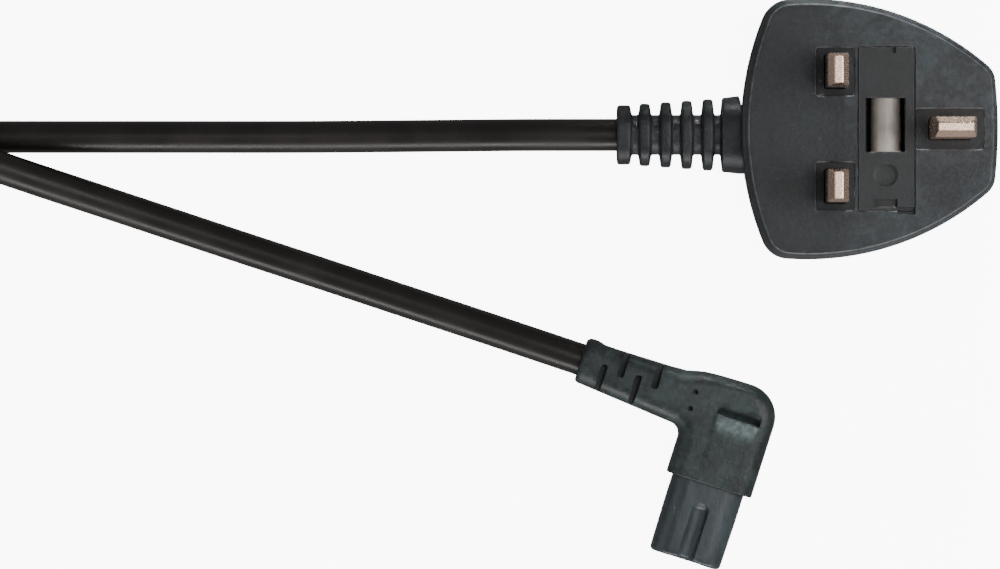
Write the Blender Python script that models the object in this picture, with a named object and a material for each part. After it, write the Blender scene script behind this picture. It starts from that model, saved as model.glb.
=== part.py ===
"""A figure-eight power cord: a fused three-pin plug, 1.8 m of round two-core cord with its
surplus in a coil, and a right-angle figure-eight connector.

Metres, +Z up. The origin is the centre of the plug's flat back, which lies on the floor
with the pins pointing up. The cord leaves the plug towards -X.
"""

from math import asin, atan2, cos, hypot, pi, radians, sin, sqrt

import bmesh
import bpy
import numpy as np
from mathutils import Matrix, Vector

MM = 0.001

# Clearances
GAP = 0.3 * MM                  # between touching pieces
PIN_GAP = 0.2 * MM              # round the pins, their sleeves and the nose's root

# Plug body
PLUG_LENGTH = 49.7 * MM         # from the cord side to the earth end
PLUG_WIDTH = 50.6 * MM
PLUG_DEPTH = 18.0 * MM          # from the back to the contact face
CORD_SIDE_RADIUS = 58.0 * MM    # the four curved sides of the outline
LONG_SIDE_RADIUS = 53.5 * MM
EARTH_END_RADIUS = 90.0 * MM
CORD_CORNER_RADIUS = 5.5 * MM
EARTH_CORNER_RADIUS = 4.5 * MM
WIDEST_SHIFT = 5.25 * MM        # the long sides are furthest apart this far behind the pin row
BACK_EDGE_SHARE = 0.85          # rounded edge of the back, as a share of the corner radius
BACK_EDGE_HEIGHT = 5.0 * MM
BACK_EDGE_STEPS = 6
PARTING_HEIGHT = 9.8 * MM       # moulding line, half-way up the wall
PARTING_STEP = 0.3 * MM
RIM_WIDTH = 1.3 * MM            # sloped rim round the contact face
RIM_HEIGHT = 1.0 * MM
RIM_SHIFT = 0.3 * MM            # the rim is wider on the cord side

# Strain relief of the plug
RELIEF_LENGTH = 24.0 * MM       # from the plug's outline to the cord
RELIEF_Y = -1.0 * MM
RELIEF_Z = 8.5 * MM
RIB_COUNT = 5
RIB_PITCH = 4.09 * MM
RIB_LENGTH = 1.9 * MM
END_RIB_LENGTH = 2.5 * MM
RIB_WIDTH_FIRST = 11.6 * MM     # at the cord
RIB_WIDTH_LAST = 13.9 * MM
COLLAR_WIDTH = 14.9 * MM
COLLAR_LENGTH = 4.2 * MM
CORE_WIDTH = 7.8 * MM
RIB_FLATNESS = 0.9              # height over width
RIB_FLANK = 0.45 * MM           # lean of a rib's side
RIB_ROUNDING = 0.35 * MM

# Pins
PIN_SPACING = 22.23 * MM        # line to neutral, and their row to the earth pin
EARTH_PIN_SETBACK = 9.37 * MM   # from the plug's earth end to the pin's middle
PIN_WIDTH = 6.35 * MM
PIN_THICKNESS = 3.95 * MM
PIN_LENGTH = 17.7 * MM
EARTH_PIN_WIDTH = 7.95 * MM
EARTH_PIN_THICKNESS = 3.95 * MM
EARTH_PIN_LENGTH = 22.73 * MM
PIN_ROOT = 4.6 * MM             # length held in the body
PIN_EDGE = 0.35 * MM
PIN_TIP_SIDE = 1.15 * MM        # chamfers of the tip
PIN_TIP_END = 0.6 * MM
PIN_TIP_HEIGHT = 1.6 * MM
SLEEVE_LENGTH = 9.5 * MM        # above the face
SLEEVE_WALL = 0.5 * MM
PAD_MARGIN_THIN = 1.7 * MM      # shallow recess round each pin
PAD_MARGIN_WIDE = 1.4 * MM
EARTH_PAD_MARGIN_THIN = 1.9 * MM
EARTH_PAD_MARGIN_WIDE = 2.6 * MM
PAD_DEPTH = 0.3 * MM

# Fuse carrier and its pocket
CARRIER_SHIFT = 9.95 * MM       # from the pin row
CARRIER_WIDTH = 10.6 * MM
CARRIER_LENGTH = 31.4 * MM
CARRIER_CORNER = 0.4 * MM
CARRIER_PLATE = 1.2 * MM
CARRIER_WALL = 1.0 * MM
WINDOW_WIDTH = 7.5 * MM
WINDOW_LENGTH = 10.4 * MM
WINDOW_SHIFT_X = -0.2 * MM
WINDOW_SHIFT_Y = 0.8 * MM
DIMPLE_RADIUS = 2.4 * MM
DIMPLE_DEPTH = 0.35 * MM
DIMPLE_Y = -8.9 * MM
END_SLOT_WIDTH = 4.4 * MM       # blind slot near the carrier's lower end
END_SLOT_LENGTH = 1.5 * MM
END_SLOT_EDGE = 0.6 * MM        # material between the slot and the end
PRY_NOTCH_WIDTH = 3.4 * MM      # for a screwdriver, at the same end
PRY_NOTCH_LENGTH = 0.6 * MM
NOTCH_DEPTH = 1.0 * MM
KEY_NOTCH_WIDTH = 0.7 * MM      # small notch in the carrier's other end
KEY_NOTCH_LENGTH = 1.0 * MM
KEY_NOTCH_SHIFT_X = 1.4 * MM

# Fuse and its clips
FUSE_LENGTH = 25.4 * MM
FUSE_RADIUS = 3.175 * MM
FUSE_CAP_LENGTH = 5.6 * MM
FUSE_CAP_WALL = 0.35 * MM
FUSE_TUBE_RADIUS = 2.95 * MM
CLIP_THICKNESS = 0.4 * MM
CLIP_LENGTH = 4.0 * MM

# Connector, in its own frame: +X along the arm to the body, the nose pointing to -Y
CONNECTOR_PLACE = Vector((-30.97 * MM, -64.42 * MM, 0.0))
CONNECTOR_TURN = radians(-17.7)
BODY_LEFT = -7.2 * MM
BODY_RIGHT = 10.1 * MM
BODY_TOP = 16.6 * MM
SHOULDER_Y = -4.6 * MM
SHOULDER_EDGE = 0.4 * MM
BODY_THICKNESS = 10.4 * MM
OUTER_CORNER_RADIUS = 6.5 * MM
INNER_CORNER_RADIUS = 2.3 * MM
ARM_END_X = -29.7 * MM
ARM_END_THICKNESS = 8.8 * MM
ARM_AXIS_Y = 11.0 * MM
ARM_END_WIDTH = 8.7 * MM
ARM_ROOT_LOW_Y = 4.8 * MM
ARM_ROOT_HIGH_Y = 15.3 * MM
BODY_HUMP_STARTS = (0.35 * MM, 0.1 * MM)   # how far the outer side still lies below its top
ARM_BEAD = 0.4 * MM             # low lip on the outer side where the cord enters
ARM_END_EDGE = 0.5 * MM
SECTION_ROUNDING = 3.3 * MM
SLOT_COUNT = 4
SLOT_PITCH = 3.5 * MM
SLOT_LAST_X = -14.5 * MM
SLOT_WIDTH = 1.2 * MM
SLOT_LENGTH = 5.7 * MM
SLOT_DEPTH = 1.5 * MM
SLOT_OVERLAP = 1.5 * MM
DOT_RADIUS = 0.5 * MM
DOT_DEPTH = 1.0 * MM
DOT_X = -6.6 * MM
DOT_YS = (8.5 * MM, 11.9 * MM)
PAD_LEFT = -1.5 * MM            # raised label pad on the broad face
PAD_RIGHT = 7.4 * MM
PAD_TOP = 8.2 * MM
PAD_BOTTOM = -3.4 * MM
PAD_RISE = 0.5 * MM
PAD_SLOPE = 0.8 * MM
GROOVE_Y = 9.6 * MM             # short slot above the pad
GROOVE_WIDTH = 0.8 * MM
GROOVE_DEPTH = 0.7 * MM

# Nose and its contacts
NOSE_X = 1.35 * MM
NOSE_WIDTH = 14.6 * MM
NOSE_THICKNESS = 7.8 * MM
NOSE_LENGTH = 15.4 * MM         # beyond the shoulder
NOSE_ROOT = 2.5 * MM            # length held in the body
NOSE_TAPER = 0.15 * MM          # narrowing of each side at the end
NOSE_END_EDGE = 0.7 * MM
WAIST_WIDTH = 3.3 * MM          # groove that makes the figure eight
WAIST_DEPTH = 1.3 * MM
WAIST_START = 3.9 * MM          # below the shoulder
CONTACT_SPACING = 8.6 * MM
CONTACT_BORE_RADIUS = 1.2 * MM
CONTACT_WALL = 0.35 * MM
CONTACT_HOLE_DEPTH = 13.0 * MM
CONTACT_SETBACK = 1.0 * MM

# Cord, coil and ties
CORD_DIAMETER = 6.3 * MM
CORD_STEP = 2.0                 # distance of the route's points, in diameters
FLOOR_GAP = 0.05 * MM
CROSSING_GAP = 2.2 * MM         # air between the two stretches where they cross
FREE_RUN = 139.15 * MM          # from the strain relief to where the cord turns to the coil
COIL_APPROACH = 68.7 * MM       # from there to the coil's centre
COIL_Y = -20.1 * MM
COIL_INNER_TURN = 26.9 * MM     # radius of the innermost turn's centre line
COIL_COLUMNS = 3
COIL_LAYERS = 4
TURN_PITCH = 1.008              # distance of the turns, in diameters
TIE_THICKNESS = 1.2 * MM
TIE_WIDTH = 10.0 * MM
TIE_ANGLES = (radians(150), radians(290))

# The free stretches: share of the free run, Y in millimetres, share of the rise between two heights
PLUG_RUN = [
    (0.0586, -1.0, 0.97),
    (0.1376, -1.0, 0.77),
    (0.2382, -1.1, 0.41),
    (0.3388, -1.2, 0.14),
    (0.4538, -1.3, 0.02),
    (0.6551, -1.3, 0.0),
    (0.8563, -1.3, 0.0),
    (0.9856, -1.3, 0.0),
]
CONNECTOR_RUN_LOW = [
    (0.1089, -42.1, 0.93),
    (0.1951, -38.1, 0.55),
    (0.2957, -33.5, 0.15),
    (0.4107, -28.2, 0.0),
]
CONNECTOR_RUN_RISING = [
    (0.5401, -22.3, 0.0),
    (0.6551, -17.0, 0.07),
    (0.7269, -13.7, 0.165),
    (0.7988, -10.4, 0.33),
    (0.8671, -7.2, 0.54),
    (0.9281, -4.4, 0.75),
]
CONNECTOR_RUN_CROSSING = (0.9950, -1.3, 1.0)

# The turns to the coil: X and Y in millimetres from its centre, and the same share
PLUG_TURN = [
    (61.6, 17.9, 0.0),
    (54.9, 15.1, 0.0),
    (49.3, 10.7, 0.0),
]
CONNECTOR_TURN_IN = [
    (58.7, 22.3, 0.235),
    (47.2, 26.1, 0.525),
]
PLUG_RUN_END = radians(8)       # where each stretch meets the coil's outside
CONNECTOR_RUN_END = radians(40.5)

# Sizes that follow from the others
PIN_ROW_X = PLUG_LENGTH / 2 - EARTH_PIN_SETBACK - PIN_SPACING
WIDEST_X = PIN_ROW_X - WIDEST_SHIFT
CARRIER_X = PIN_ROW_X + CARRIER_SHIFT
RELIEF_END_X = -PLUG_LENGTH / 2 - RELIEF_LENGTH
COIL_CENTRE = (RELIEF_END_X - FREE_RUN - COIL_APPROACH, COIL_Y)
BACK_EDGE_INSET = BACK_EDGE_SHARE * min(CORD_CORNER_RADIUS, EARTH_CORNER_RADIUS)
FACE_Z = PLUG_DEPTH
FUSE_DEPTH = CARRIER_PLATE + GAP + FUSE_RADIUS
CLIP_DEPTH = FUSE_DEPTH + FUSE_RADIUS + GAP + CLIP_THICKNESS
POCKET_DEPTH = CLIP_DEPTH + GAP
CARRIER_DEPTH = POCKET_DEPTH - GAP
CONNECTOR_Z = BODY_THICKNESS / 2
CONTACT_RADIUS = CONTACT_BORE_RADIUS + CONTACT_WALL
CONTACT_HOLE_RADIUS = CONTACT_RADIUS + PIN_GAP
CORD_RADIUS = CORD_DIAMETER / 2
FLOOR_Z = CORD_RADIUS + FLOOR_GAP
CROSSING_Z = FLOOR_Z + CORD_DIAMETER + CROSSING_GAP
COIL_BASE = TIE_THICKNESS + GAP
PITCH = TURN_PITCH * CORD_DIAMETER
COIL_OUTER_TURN = COIL_INNER_TURN + (COIL_COLUMNS - 1) * PITCH
LOWEST_TURN_Z = COIL_BASE + CORD_RADIUS
TOP_TURN_Z = LOWEST_TURN_Z + (COIL_LAYERS - 1) * PITCH


def clear_scene():
    for thing in list(bpy.data.objects):
        bpy.data.objects.remove(thing, do_unlink=True)


def material(name, colour, roughness, metallic=0.0):
    made = bpy.data.materials.new(name)
    made.use_nodes = True
    shader = made.node_tree.nodes["Principled BSDF"]
    shader.inputs["Base Color"].default_value = (*colour, 1.0)
    shader.inputs["Roughness"].default_value = roughness
    shader.inputs["Metallic"].default_value = metallic
    made.diffuse_color = (*colour, 1.0)
    return made


def add_object(name, bm, finish, place=(0, 0, 0), parent=None, sharp=30):
    """One named object from a bmesh, shaded smooth with its real edges kept sharp."""
    bmesh.ops.recalc_face_normals(bm, faces=bm.faces)
    mesh = bpy.data.meshes.new(name)
    bm.to_mesh(mesh)
    bm.free()
    mesh.materials.append(finish)
    mesh.shade_smooth()
    mesh.set_sharp_from_angle(angle=radians(sharp))
    made = bpy.data.objects.new(name, mesh)
    made.location = place
    made.parent = parent
    bpy.context.collection.objects.link(made)
    return made


def add_cutter(name, bm, finish, place=(0, 0, 0), parent=None):
    made = add_object(name, bm, finish, place, parent)
    made.hide_render = True
    made.display_type = "WIRE"
    return made


def boolean(target, tool, operation="DIFFERENCE"):
    step = target.modifiers.new(tool.name, "BOOLEAN")
    step.operation = operation
    step.solver = "EXACT"
    step.object = tool


def rounded_rectangle(width, height, radius, steps=5):
    """Points of a rounded rectangle round (0, 0), anticlockwise."""
    points = []
    for corner in range(4):
        across = 1 if corner in (0, 3) else -1
        up = 1 if corner < 2 else -1
        for step in range(steps + 1):
            angle = (corner + step / steps) * pi / 2
            points.append((
                across * (width / 2 - radius) + radius * cos(angle),
                up * (height / 2 - radius) + radius * sin(angle),
            ))
    return points


def add_ring(bm, points):
    return [bm.verts.new(point) for point in points]


def bridge(bm, ring, other):
    for i in range(len(ring)):
        j = (i + 1) % len(ring)
        bm.faces.new((ring[i], ring[j], other[j], other[i]))


def loft(rings):
    """A closed solid through rings of equally many points."""
    bm = bmesh.new()
    made = [add_ring(bm, ring) for ring in rings]
    for ring, other in zip(made, made[1:]):
        bridge(bm, ring, other)
    bm.faces.new(made[0])
    bm.faces.new(made[-1])
    return bm


def hollow_loft(outer_rings, inner_rings):
    """A closed tube: the outer and the inner rings match, one to one."""
    bm = bmesh.new()
    outer = [add_ring(bm, ring) for ring in outer_rings]
    inner = [add_ring(bm, ring) for ring in inner_rings]
    for rings in (outer, inner):
        for ring, other in zip(rings, rings[1:]):
            bridge(bm, ring, other)
    for end in (0, -1):
        bridge(bm, outer[end], inner[end])
    return bm


def turned(profile, steps=32):
    """A solid of revolution round Z from (radius, height) points; it starts and ends on the axis."""
    bm = bmesh.new()
    rings = []
    for radius, height in profile:
        if radius == 0:
            rings.append([bm.verts.new((0, 0, height))])
            continue
        angles = [2 * pi * i / steps for i in range(steps)]
        rings.append(add_ring(bm, [(radius * cos(a), radius * sin(a), height) for a in angles]))
    for ring, other in zip(rings, rings[1:]):
        for i in range(steps):
            j = (i + 1) % steps
            corners = [ring[i % len(ring)], ring[j % len(ring)], other[j % len(other)], other[i % len(other)]]
            unique = list(dict.fromkeys(corners))
            if len(unique) > 2:
                bm.faces.new(unique)
    return bm


def block(low, high):
    """A plain box between two corners."""
    low, high = Vector(low), Vector(high)
    bm = bmesh.new()
    bmesh.ops.create_cube(bm, size=1.0)
    size = Matrix.Diagonal((*(high - low), 1.0))
    bm.transform(Matrix.Translation((low + high) / 2) @ size)
    return bm


def prism(points, bottom, top):
    """An upright prism of a flat outline."""
    return loft([[(x, y, z) for x, y in points] for z in (bottom, top)])


def arc(centre, radius, start, end, steps):
    """Points on an arc, without its last one."""
    angles = [start + (end - start) * i / steps for i in range(steps)]
    return [(centre[0] + radius * cos(a), centre[1] + radius * sin(a)) for a in angles]


def circle_crossing(centre_a, radius_a, centre_b, radius_b):
    """The point where two circles cross, to the left of the way from a to b."""
    dx = centre_b[0] - centre_a[0]
    dy = centre_b[1] - centre_a[1]
    apart = hypot(dx, dy)
    along = (radius_a**2 - radius_b**2 + apart**2) / (2 * apart)
    off = sqrt(radius_a**2 - along**2)
    return (
        centre_a[0] + (along * dx - off * dy) / apart,
        centre_a[1] + (along * dy + off * dx) / apart,
    )


def plug_outline(inset):
    """The plug's outline: four wide arcs with rounded corners, moved in by an inset."""
    half = PLUG_LENGTH / 2
    rise = PLUG_WIDTH / 2 - LONG_SIDE_RADIUS
    sides = [
        ((half - EARTH_END_RADIUS, 0.0), EARTH_END_RADIUS, 8),
        ((WIDEST_X, rise), LONG_SIDE_RADIUS, 20),
        ((CORD_SIDE_RADIUS - half, 0.0), CORD_SIDE_RADIUS, 12),
        ((WIDEST_X, -rise), LONG_SIDE_RADIUS, 20),
    ]
    corner_radii = [EARTH_CORNER_RADIUS, CORD_CORNER_RADIUS, CORD_CORNER_RADIUS, EARTH_CORNER_RADIUS]
    corners = []
    for i, radius in enumerate(corner_radii):
        (centre_a, radius_a, _), (centre_b, radius_b, _) = sides[i], sides[(i + 1) % 4]
        centre = circle_crossing(centre_a, radius_a - radius, centre_b, radius_b - radius)
        start = atan2(centre[1] - centre_a[1], centre[0] - centre_a[0])
        end = atan2(centre[1] - centre_b[1], centre[0] - centre_b[0])
        corners.append((centre, radius, start, end))
    points = []
    for i, (centre, radius, steps) in enumerate(sides):
        start = corners[i - 1][3]
        end = corners[i][2]
        points += arc(centre, radius - inset, start, turn_after(start, end), steps)
        centre, radius, start, end = corners[i]
        points += arc(centre, radius - inset, start, turn_after(start, end), 7)
    return points


def turn_after(start, end):
    """The end angle, taken anticlockwise from the start."""
    while end < start:
        end += 2 * pi
    return end


def plug_levels():
    """Height, inset and shift of each level, from the plug's back to its contact face."""
    levels = []
    for step in range(BACK_EDGE_STEPS + 1):
        angle = step / BACK_EDGE_STEPS * pi / 2
        inset = BACK_EDGE_INSET - (BACK_EDGE_INSET - PARTING_STEP) * sin(angle)
        levels.append((BACK_EDGE_HEIGHT * (1 - cos(angle)), inset, 0.0))
    levels.append((PARTING_HEIGHT - PARTING_STEP / 2, PARTING_STEP, 0.0))
    levels.append((PARTING_HEIGHT + PARTING_STEP / 2, 0.0, 0.0))
    for drop, share in ((1.0, 0.0), (0.62, 0.16), (0.16, 0.72), (0.0, 1.0)):
        levels.append((FACE_Z - drop * RIM_HEIGHT, share * RIM_WIDTH, share * RIM_SHIFT))
    return levels


def relief_section(x, width, flatness, rounding):
    """One section of the strain relief, across X."""
    points = rounded_rectangle(width, width * flatness, rounding * width * flatness)
    return [(x, RELIEF_Y + y, RELIEF_Z + z) for y, z in points]


def rib_sections(start, end, width):
    """The sections of one rib, with leaning flanks and rounded edges."""
    small = width - 2 * RIB_ROUNDING
    return [
        relief_section(start - RIB_FLANK, CORE_WIDTH, 1.0, 0.48),
        relief_section(start, small, RIB_FLATNESS, 0.42),
        relief_section(start + RIB_ROUNDING, width, RIB_FLATNESS, 0.42),
        relief_section(end - RIB_ROUNDING, width, RIB_FLATNESS, 0.42),
        relief_section(end, small, RIB_FLATNESS, 0.42),
        relief_section(end + RIB_FLANK, CORE_WIDTH, 1.0, 0.48),
    ]


def relief_loft():
    """The ribbed strain relief, from the cord's end into the plug's wall."""
    outline_x = -PLUG_LENGTH / 2
    rings = []
    for rib in range(RIB_COUNT):
        length = END_RIB_LENGTH if rib == 0 else RIB_LENGTH
        middle = RELIEF_END_X + END_RIB_LENGTH / 2 + rib * RIB_PITCH
        share = rib / (RIB_COUNT - 1)
        width = RIB_WIDTH_FIRST + (RIB_WIDTH_LAST - RIB_WIDTH_FIRST) * share
        rings += rib_sections(middle - length / 2, middle + length / 2, width)
    rings = rings[1:]
    collar_x = outline_x - COLLAR_LENGTH + CORD_CORNER_RADIUS / 8
    rings.append(relief_section(collar_x - RIB_FLANK, CORE_WIDTH, 1.0, 0.48))
    rings.append(relief_section(collar_x, COLLAR_WIDTH - 2 * RIB_ROUNDING, RIB_FLATNESS, 0.42))
    rings.append(relief_section(collar_x + RIB_ROUNDING, COLLAR_WIDTH, RIB_FLATNESS, 0.42))
    rings.append(relief_section(outline_x + BACK_EDGE_INSET, COLLAR_WIDTH, RIB_FLATNESS, 0.42))
    return loft(rings)


def pin_place(name):
    half = PIN_SPACING / 2
    places = {
        "line": (PIN_ROW_X, half),
        "neutral": (PIN_ROW_X, -half),
        "earth": (PIN_ROW_X + PIN_SPACING, 0.0),
    }
    return places[name]


def pin_ring(width, thickness, level, lengthwise):
    """A pin's section: wide along Y for line and neutral, and along X for earth."""
    across, along = (width, thickness) if lengthwise else (thickness, width)
    points = rounded_rectangle(across, along, PIN_EDGE, 3)
    return [(x, y, level) for x, y in points]


def tip_rings(width, thickness, top, lengthwise):
    start = top - PIN_TIP_HEIGHT
    return [
        pin_ring(width, thickness, start, lengthwise),
        pin_ring(width - 2 * PIN_TIP_END, thickness - 2 * PIN_TIP_SIDE, top, lengthwise),
    ]


def live_pin(name, brass):
    """A line or neutral pin: a necked core inside its sleeve, and a bare full-size end."""
    top = FACE_Z + PIN_LENGTH
    neck_top = FACE_Z + SLEEVE_LENGTH
    neck = SLEEVE_WALL + PIN_GAP
    neck_width = PIN_WIDTH - 2 * neck
    neck_thickness = PIN_THICKNESS - 2 * neck
    rings = [
        pin_ring(neck_width, neck_thickness, FACE_Z - PIN_ROOT, False),
        pin_ring(neck_width, neck_thickness, neck_top, False),
        pin_ring(PIN_WIDTH, PIN_THICKNESS, neck_top, False),
        *tip_rings(PIN_WIDTH, PIN_THICKNESS, top, False),
    ]
    add_object(f"{name}_pin", loft(rings), brass, (*pin_place(name), 0.0))


def pin_sleeve(name, plastic):
    """The insulating sleeve, flush with the bare end of its pin."""
    levels = (FACE_Z - PIN_ROOT, FACE_Z + SLEEVE_LENGTH - PIN_GAP)
    outer = [pin_ring(PIN_WIDTH, PIN_THICKNESS, z, False) for z in levels]
    bore_width = PIN_WIDTH - 2 * SLEEVE_WALL
    bore_thickness = PIN_THICKNESS - 2 * SLEEVE_WALL
    inner = [pin_ring(bore_width, bore_thickness, z, False) for z in levels]
    add_object(f"{name}_pin_sleeve", hollow_loft(outer, inner), plastic, (*pin_place(name), 0.0))


def earth_pin(brass):
    rings = [
        pin_ring(EARTH_PIN_WIDTH, EARTH_PIN_THICKNESS, FACE_Z - PIN_ROOT, True),
        *tip_rings(EARTH_PIN_WIDTH, EARTH_PIN_THICKNESS, FACE_Z + EARTH_PIN_LENGTH, True),
    ]
    add_object("earth_pin", loft(rings), brass, (*pin_place("earth"), 0.0))


def carrier_outline(grow):
    width = CARRIER_WIDTH + 2 * grow
    length = CARRIER_LENGTH + 2 * grow
    return [(x + CARRIER_X, y) for x, y in rounded_rectangle(width, length, CARRIER_CORNER + grow, 3)]


def plug_cutters(plastic):
    """The pocket, the pin holes with their shallow recesses, and the notch beside the carrier."""
    above = FACE_Z + RIM_HEIGHT
    cutters = [add_cutter("cut_pocket", prism(carrier_outline(GAP), FACE_Z - POCKET_DEPTH, above), plastic)]
    pins = {
        "line": (PIN_THICKNESS, PIN_WIDTH, PAD_MARGIN_THIN, PAD_MARGIN_WIDE),
        "neutral": (PIN_THICKNESS, PIN_WIDTH, PAD_MARGIN_THIN, PAD_MARGIN_WIDE),
        "earth": (EARTH_PIN_WIDTH, EARTH_PIN_THICKNESS, EARTH_PAD_MARGIN_WIDE, EARTH_PAD_MARGIN_THIN),
    }
    for name, (across, along, margin_x, margin_y) in pins.items():
        place = (*pin_place(name), 0.0)
        hole = rounded_rectangle(across + 2 * PIN_GAP, along + 2 * PIN_GAP, PIN_EDGE + PIN_GAP, 3)
        depth = FACE_Z - PIN_ROOT - GAP
        cutters.append(add_cutter(f"cut_{name}_hole", prism(hole, depth, above), plastic, place))
        pad = rounded_rectangle(across + 2 * margin_x, along + 2 * margin_y, PIN_EDGE, 3)
        cutters.append(add_cutter(f"cut_{name}_pad", prism(pad, FACE_Z - PAD_DEPTH, above), plastic, place))
    end = -CARRIER_LENGTH / 2
    right = CARRIER_X + CARRIER_WIDTH / 2 + GAP
    notch = block(
        (right - PRY_NOTCH_WIDTH, end - GAP - PRY_NOTCH_LENGTH, FACE_Z - NOTCH_DEPTH),
        (right, end, above),
    )
    cutters.append(add_cutter("cut_pry_notch", notch, plastic))
    return cutters


def plug_body(plastic):
    """The overmoulded body, in one piece with its strain relief."""
    rings = [[(x + shift, y, z) for x, y in plug_outline(inset)] for z, inset, shift in plug_levels()]
    body = add_object("plug_body", loft(rings), plastic)
    boolean(body, add_cutter("join_relief", relief_loft(), plastic), "UNION")
    for cutter in plug_cutters(plastic):
        boolean(body, cutter)


def fuse_carrier(plastic):
    """The drawer that holds the fuse; its origin is on the way that it slides."""
    bottom = FACE_Z - CARRIER_DEPTH
    carrier = add_object("fuse_carrier", prism(carrier_outline(0.0), bottom, FACE_Z), plastic)
    half_width = CARRIER_WIDTH / 2 - CARRIER_WALL
    half_length = FUSE_LENGTH / 2 + GAP
    trough = block(
        (CARRIER_X - half_width, -half_length, bottom - CARRIER_PLATE),
        (CARRIER_X + half_width, half_length, FACE_Z - CARRIER_PLATE),
    )
    window_x = CARRIER_X + WINDOW_SHIFT_X
    above = FACE_Z + CARRIER_PLATE
    window = block(
        (window_x - WINDOW_WIDTH / 2, WINDOW_SHIFT_Y - WINDOW_LENGTH / 2, FACE_Z - 2 * CARRIER_PLATE),
        (window_x + WINDOW_WIDTH / 2, WINDOW_SHIFT_Y + WINDOW_LENGTH / 2, above),
    )
    dimple = turned(
        [
            (0, -DIMPLE_DEPTH),
            (0.8 * DIMPLE_RADIUS, -DIMPLE_DEPTH),
            (DIMPLE_RADIUS, 0.1 * DIMPLE_DEPTH),
            (DIMPLE_RADIUS, CARRIER_PLATE),
            (0, CARRIER_PLATE),
        ]
    )
    boolean(carrier, add_cutter("cut_trough", trough, plastic))
    boolean(carrier, add_cutter("cut_window", window, plastic))
    boolean(carrier, add_cutter("cut_dimple", dimple, plastic, (window_x, DIMPLE_Y, FACE_Z)))
    for name, low, high in carrier_notches(window_x):
        boolean(carrier, add_cutter(name, block((*low, FACE_Z - NOTCH_DEPTH), (*high, above)), plastic))


def carrier_notches(middle):
    """Name, low corner and high corner of the three small cuts in the carrier's ends."""
    end = CARRIER_LENGTH / 2
    side = CARRIER_X + CARRIER_WIDTH / 2
    slot_low = -end + END_SLOT_EDGE
    key_x = CARRIER_X + KEY_NOTCH_SHIFT_X
    return [
        (
            "cut_end_slot",
            (middle - END_SLOT_WIDTH / 2, slot_low),
            (middle + END_SLOT_WIDTH / 2, slot_low + END_SLOT_LENGTH),
        ),
        (
            "cut_pry_corner",
            (side + GAP - PRY_NOTCH_WIDTH, -end - GAP),
            (side + GAP, -end + PRY_NOTCH_LENGTH),
        ),
        (
            "cut_key_notch",
            (key_x - KEY_NOTCH_WIDTH / 2, end - KEY_NOTCH_LENGTH),
            (key_x + KEY_NOTCH_WIDTH / 2, end + GAP),
        ),
    ]


def lay_along_y(thing, y, facing):
    """Turn a part made round Z so that its axis lies along Y, in the fuse's place."""
    thing.location = (CARRIER_X, y, FACE_Z - FUSE_DEPTH)
    thing.rotation_euler = (-facing * pi / 2, 0.0, 0.0)


def fuse(ceramic, cap_metal):
    """A ceramic cartridge with a cap pressed on each end."""
    half = FUSE_LENGTH / 2
    shoulder = half - FUSE_CAP_LENGTH - GAP
    neck_end = half - FUSE_CAP_WALL - GAP
    neck_radius = FUSE_RADIUS - FUSE_CAP_WALL - GAP
    tube = turned([
        (0, -neck_end),
        (neck_radius, -neck_end),
        (neck_radius, -shoulder),
        (FUSE_TUBE_RADIUS, -shoulder),
        (FUSE_TUBE_RADIUS, shoulder),
        (neck_radius, shoulder),
        (neck_radius, neck_end),
        (0, neck_end),
    ])
    lay_along_y(add_object("fuse_tube", tube, ceramic), 0.0, 1)
    bore = FUSE_RADIUS - FUSE_CAP_WALL
    edge = FUSE_CAP_WALL
    for name, facing in (("line", 1), ("load", -1)):
        cap = turned([
            (0, -FUSE_CAP_WALL),
            (bore, -FUSE_CAP_WALL),
            (bore, -FUSE_CAP_LENGTH),
            (FUSE_RADIUS, -FUSE_CAP_LENGTH),
            (FUSE_RADIUS, -edge),
            (FUSE_RADIUS - edge, 0),
            (0, 0),
        ])
        lay_along_y(add_object(f"fuse_cap_{name}", cap, cap_metal), facing * half, facing)


def fuse_clips(brass):
    """A U-shaped spring clip under each fuse cap, on the pocket's floor."""
    inner = FUSE_RADIUS + GAP
    outer = inner + CLIP_THICKNESS
    low = FACE_Z - CLIP_DEPTH
    floor = low + CLIP_THICKNESS
    top = FACE_Z - FUSE_DEPTH
    profile = [(-outer, low), (outer, low), (outer, top), (inner, top), (inner, floor), (-inner, floor)]
    profile += [(-inner, top), (-outer, top)]
    middle = FUSE_LENGTH / 2 - FUSE_CAP_LENGTH / 2
    for name, side in (("line", 1), ("load", -1)):
        ends = [side * middle - CLIP_LENGTH / 2, side * middle + CLIP_LENGTH / 2]
        rings = [[(CARRIER_X + x, y, z) for x, z in profile] for y in ends]
        add_object(f"fuse_clip_{name}", loft(rings), brass)


def connector_frame():
    frame = bpy.data.objects.new("connector_frame", None)
    frame.location = CONNECTOR_PLACE
    frame.rotation_euler = (0.0, 0.0, CONNECTOR_TURN)
    bpy.context.collection.objects.link(frame)
    return frame


def connector_section(inner, outer, thickness, rounding):
    """A rounded section standing between two points of the outline."""
    inner, outer = Vector(inner), Vector(outer)
    middle = (inner + outer) / 2
    along = (outer - inner).normalized()
    width = (outer - inner).length
    points = rounded_rectangle(width, thickness, min(rounding, 0.46 * thickness), 6)
    return [(*(middle + along * a), CONNECTOR_Z + b) for a, b in points]


def blend(start, end, share):
    return start + (end - start) * share


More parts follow.
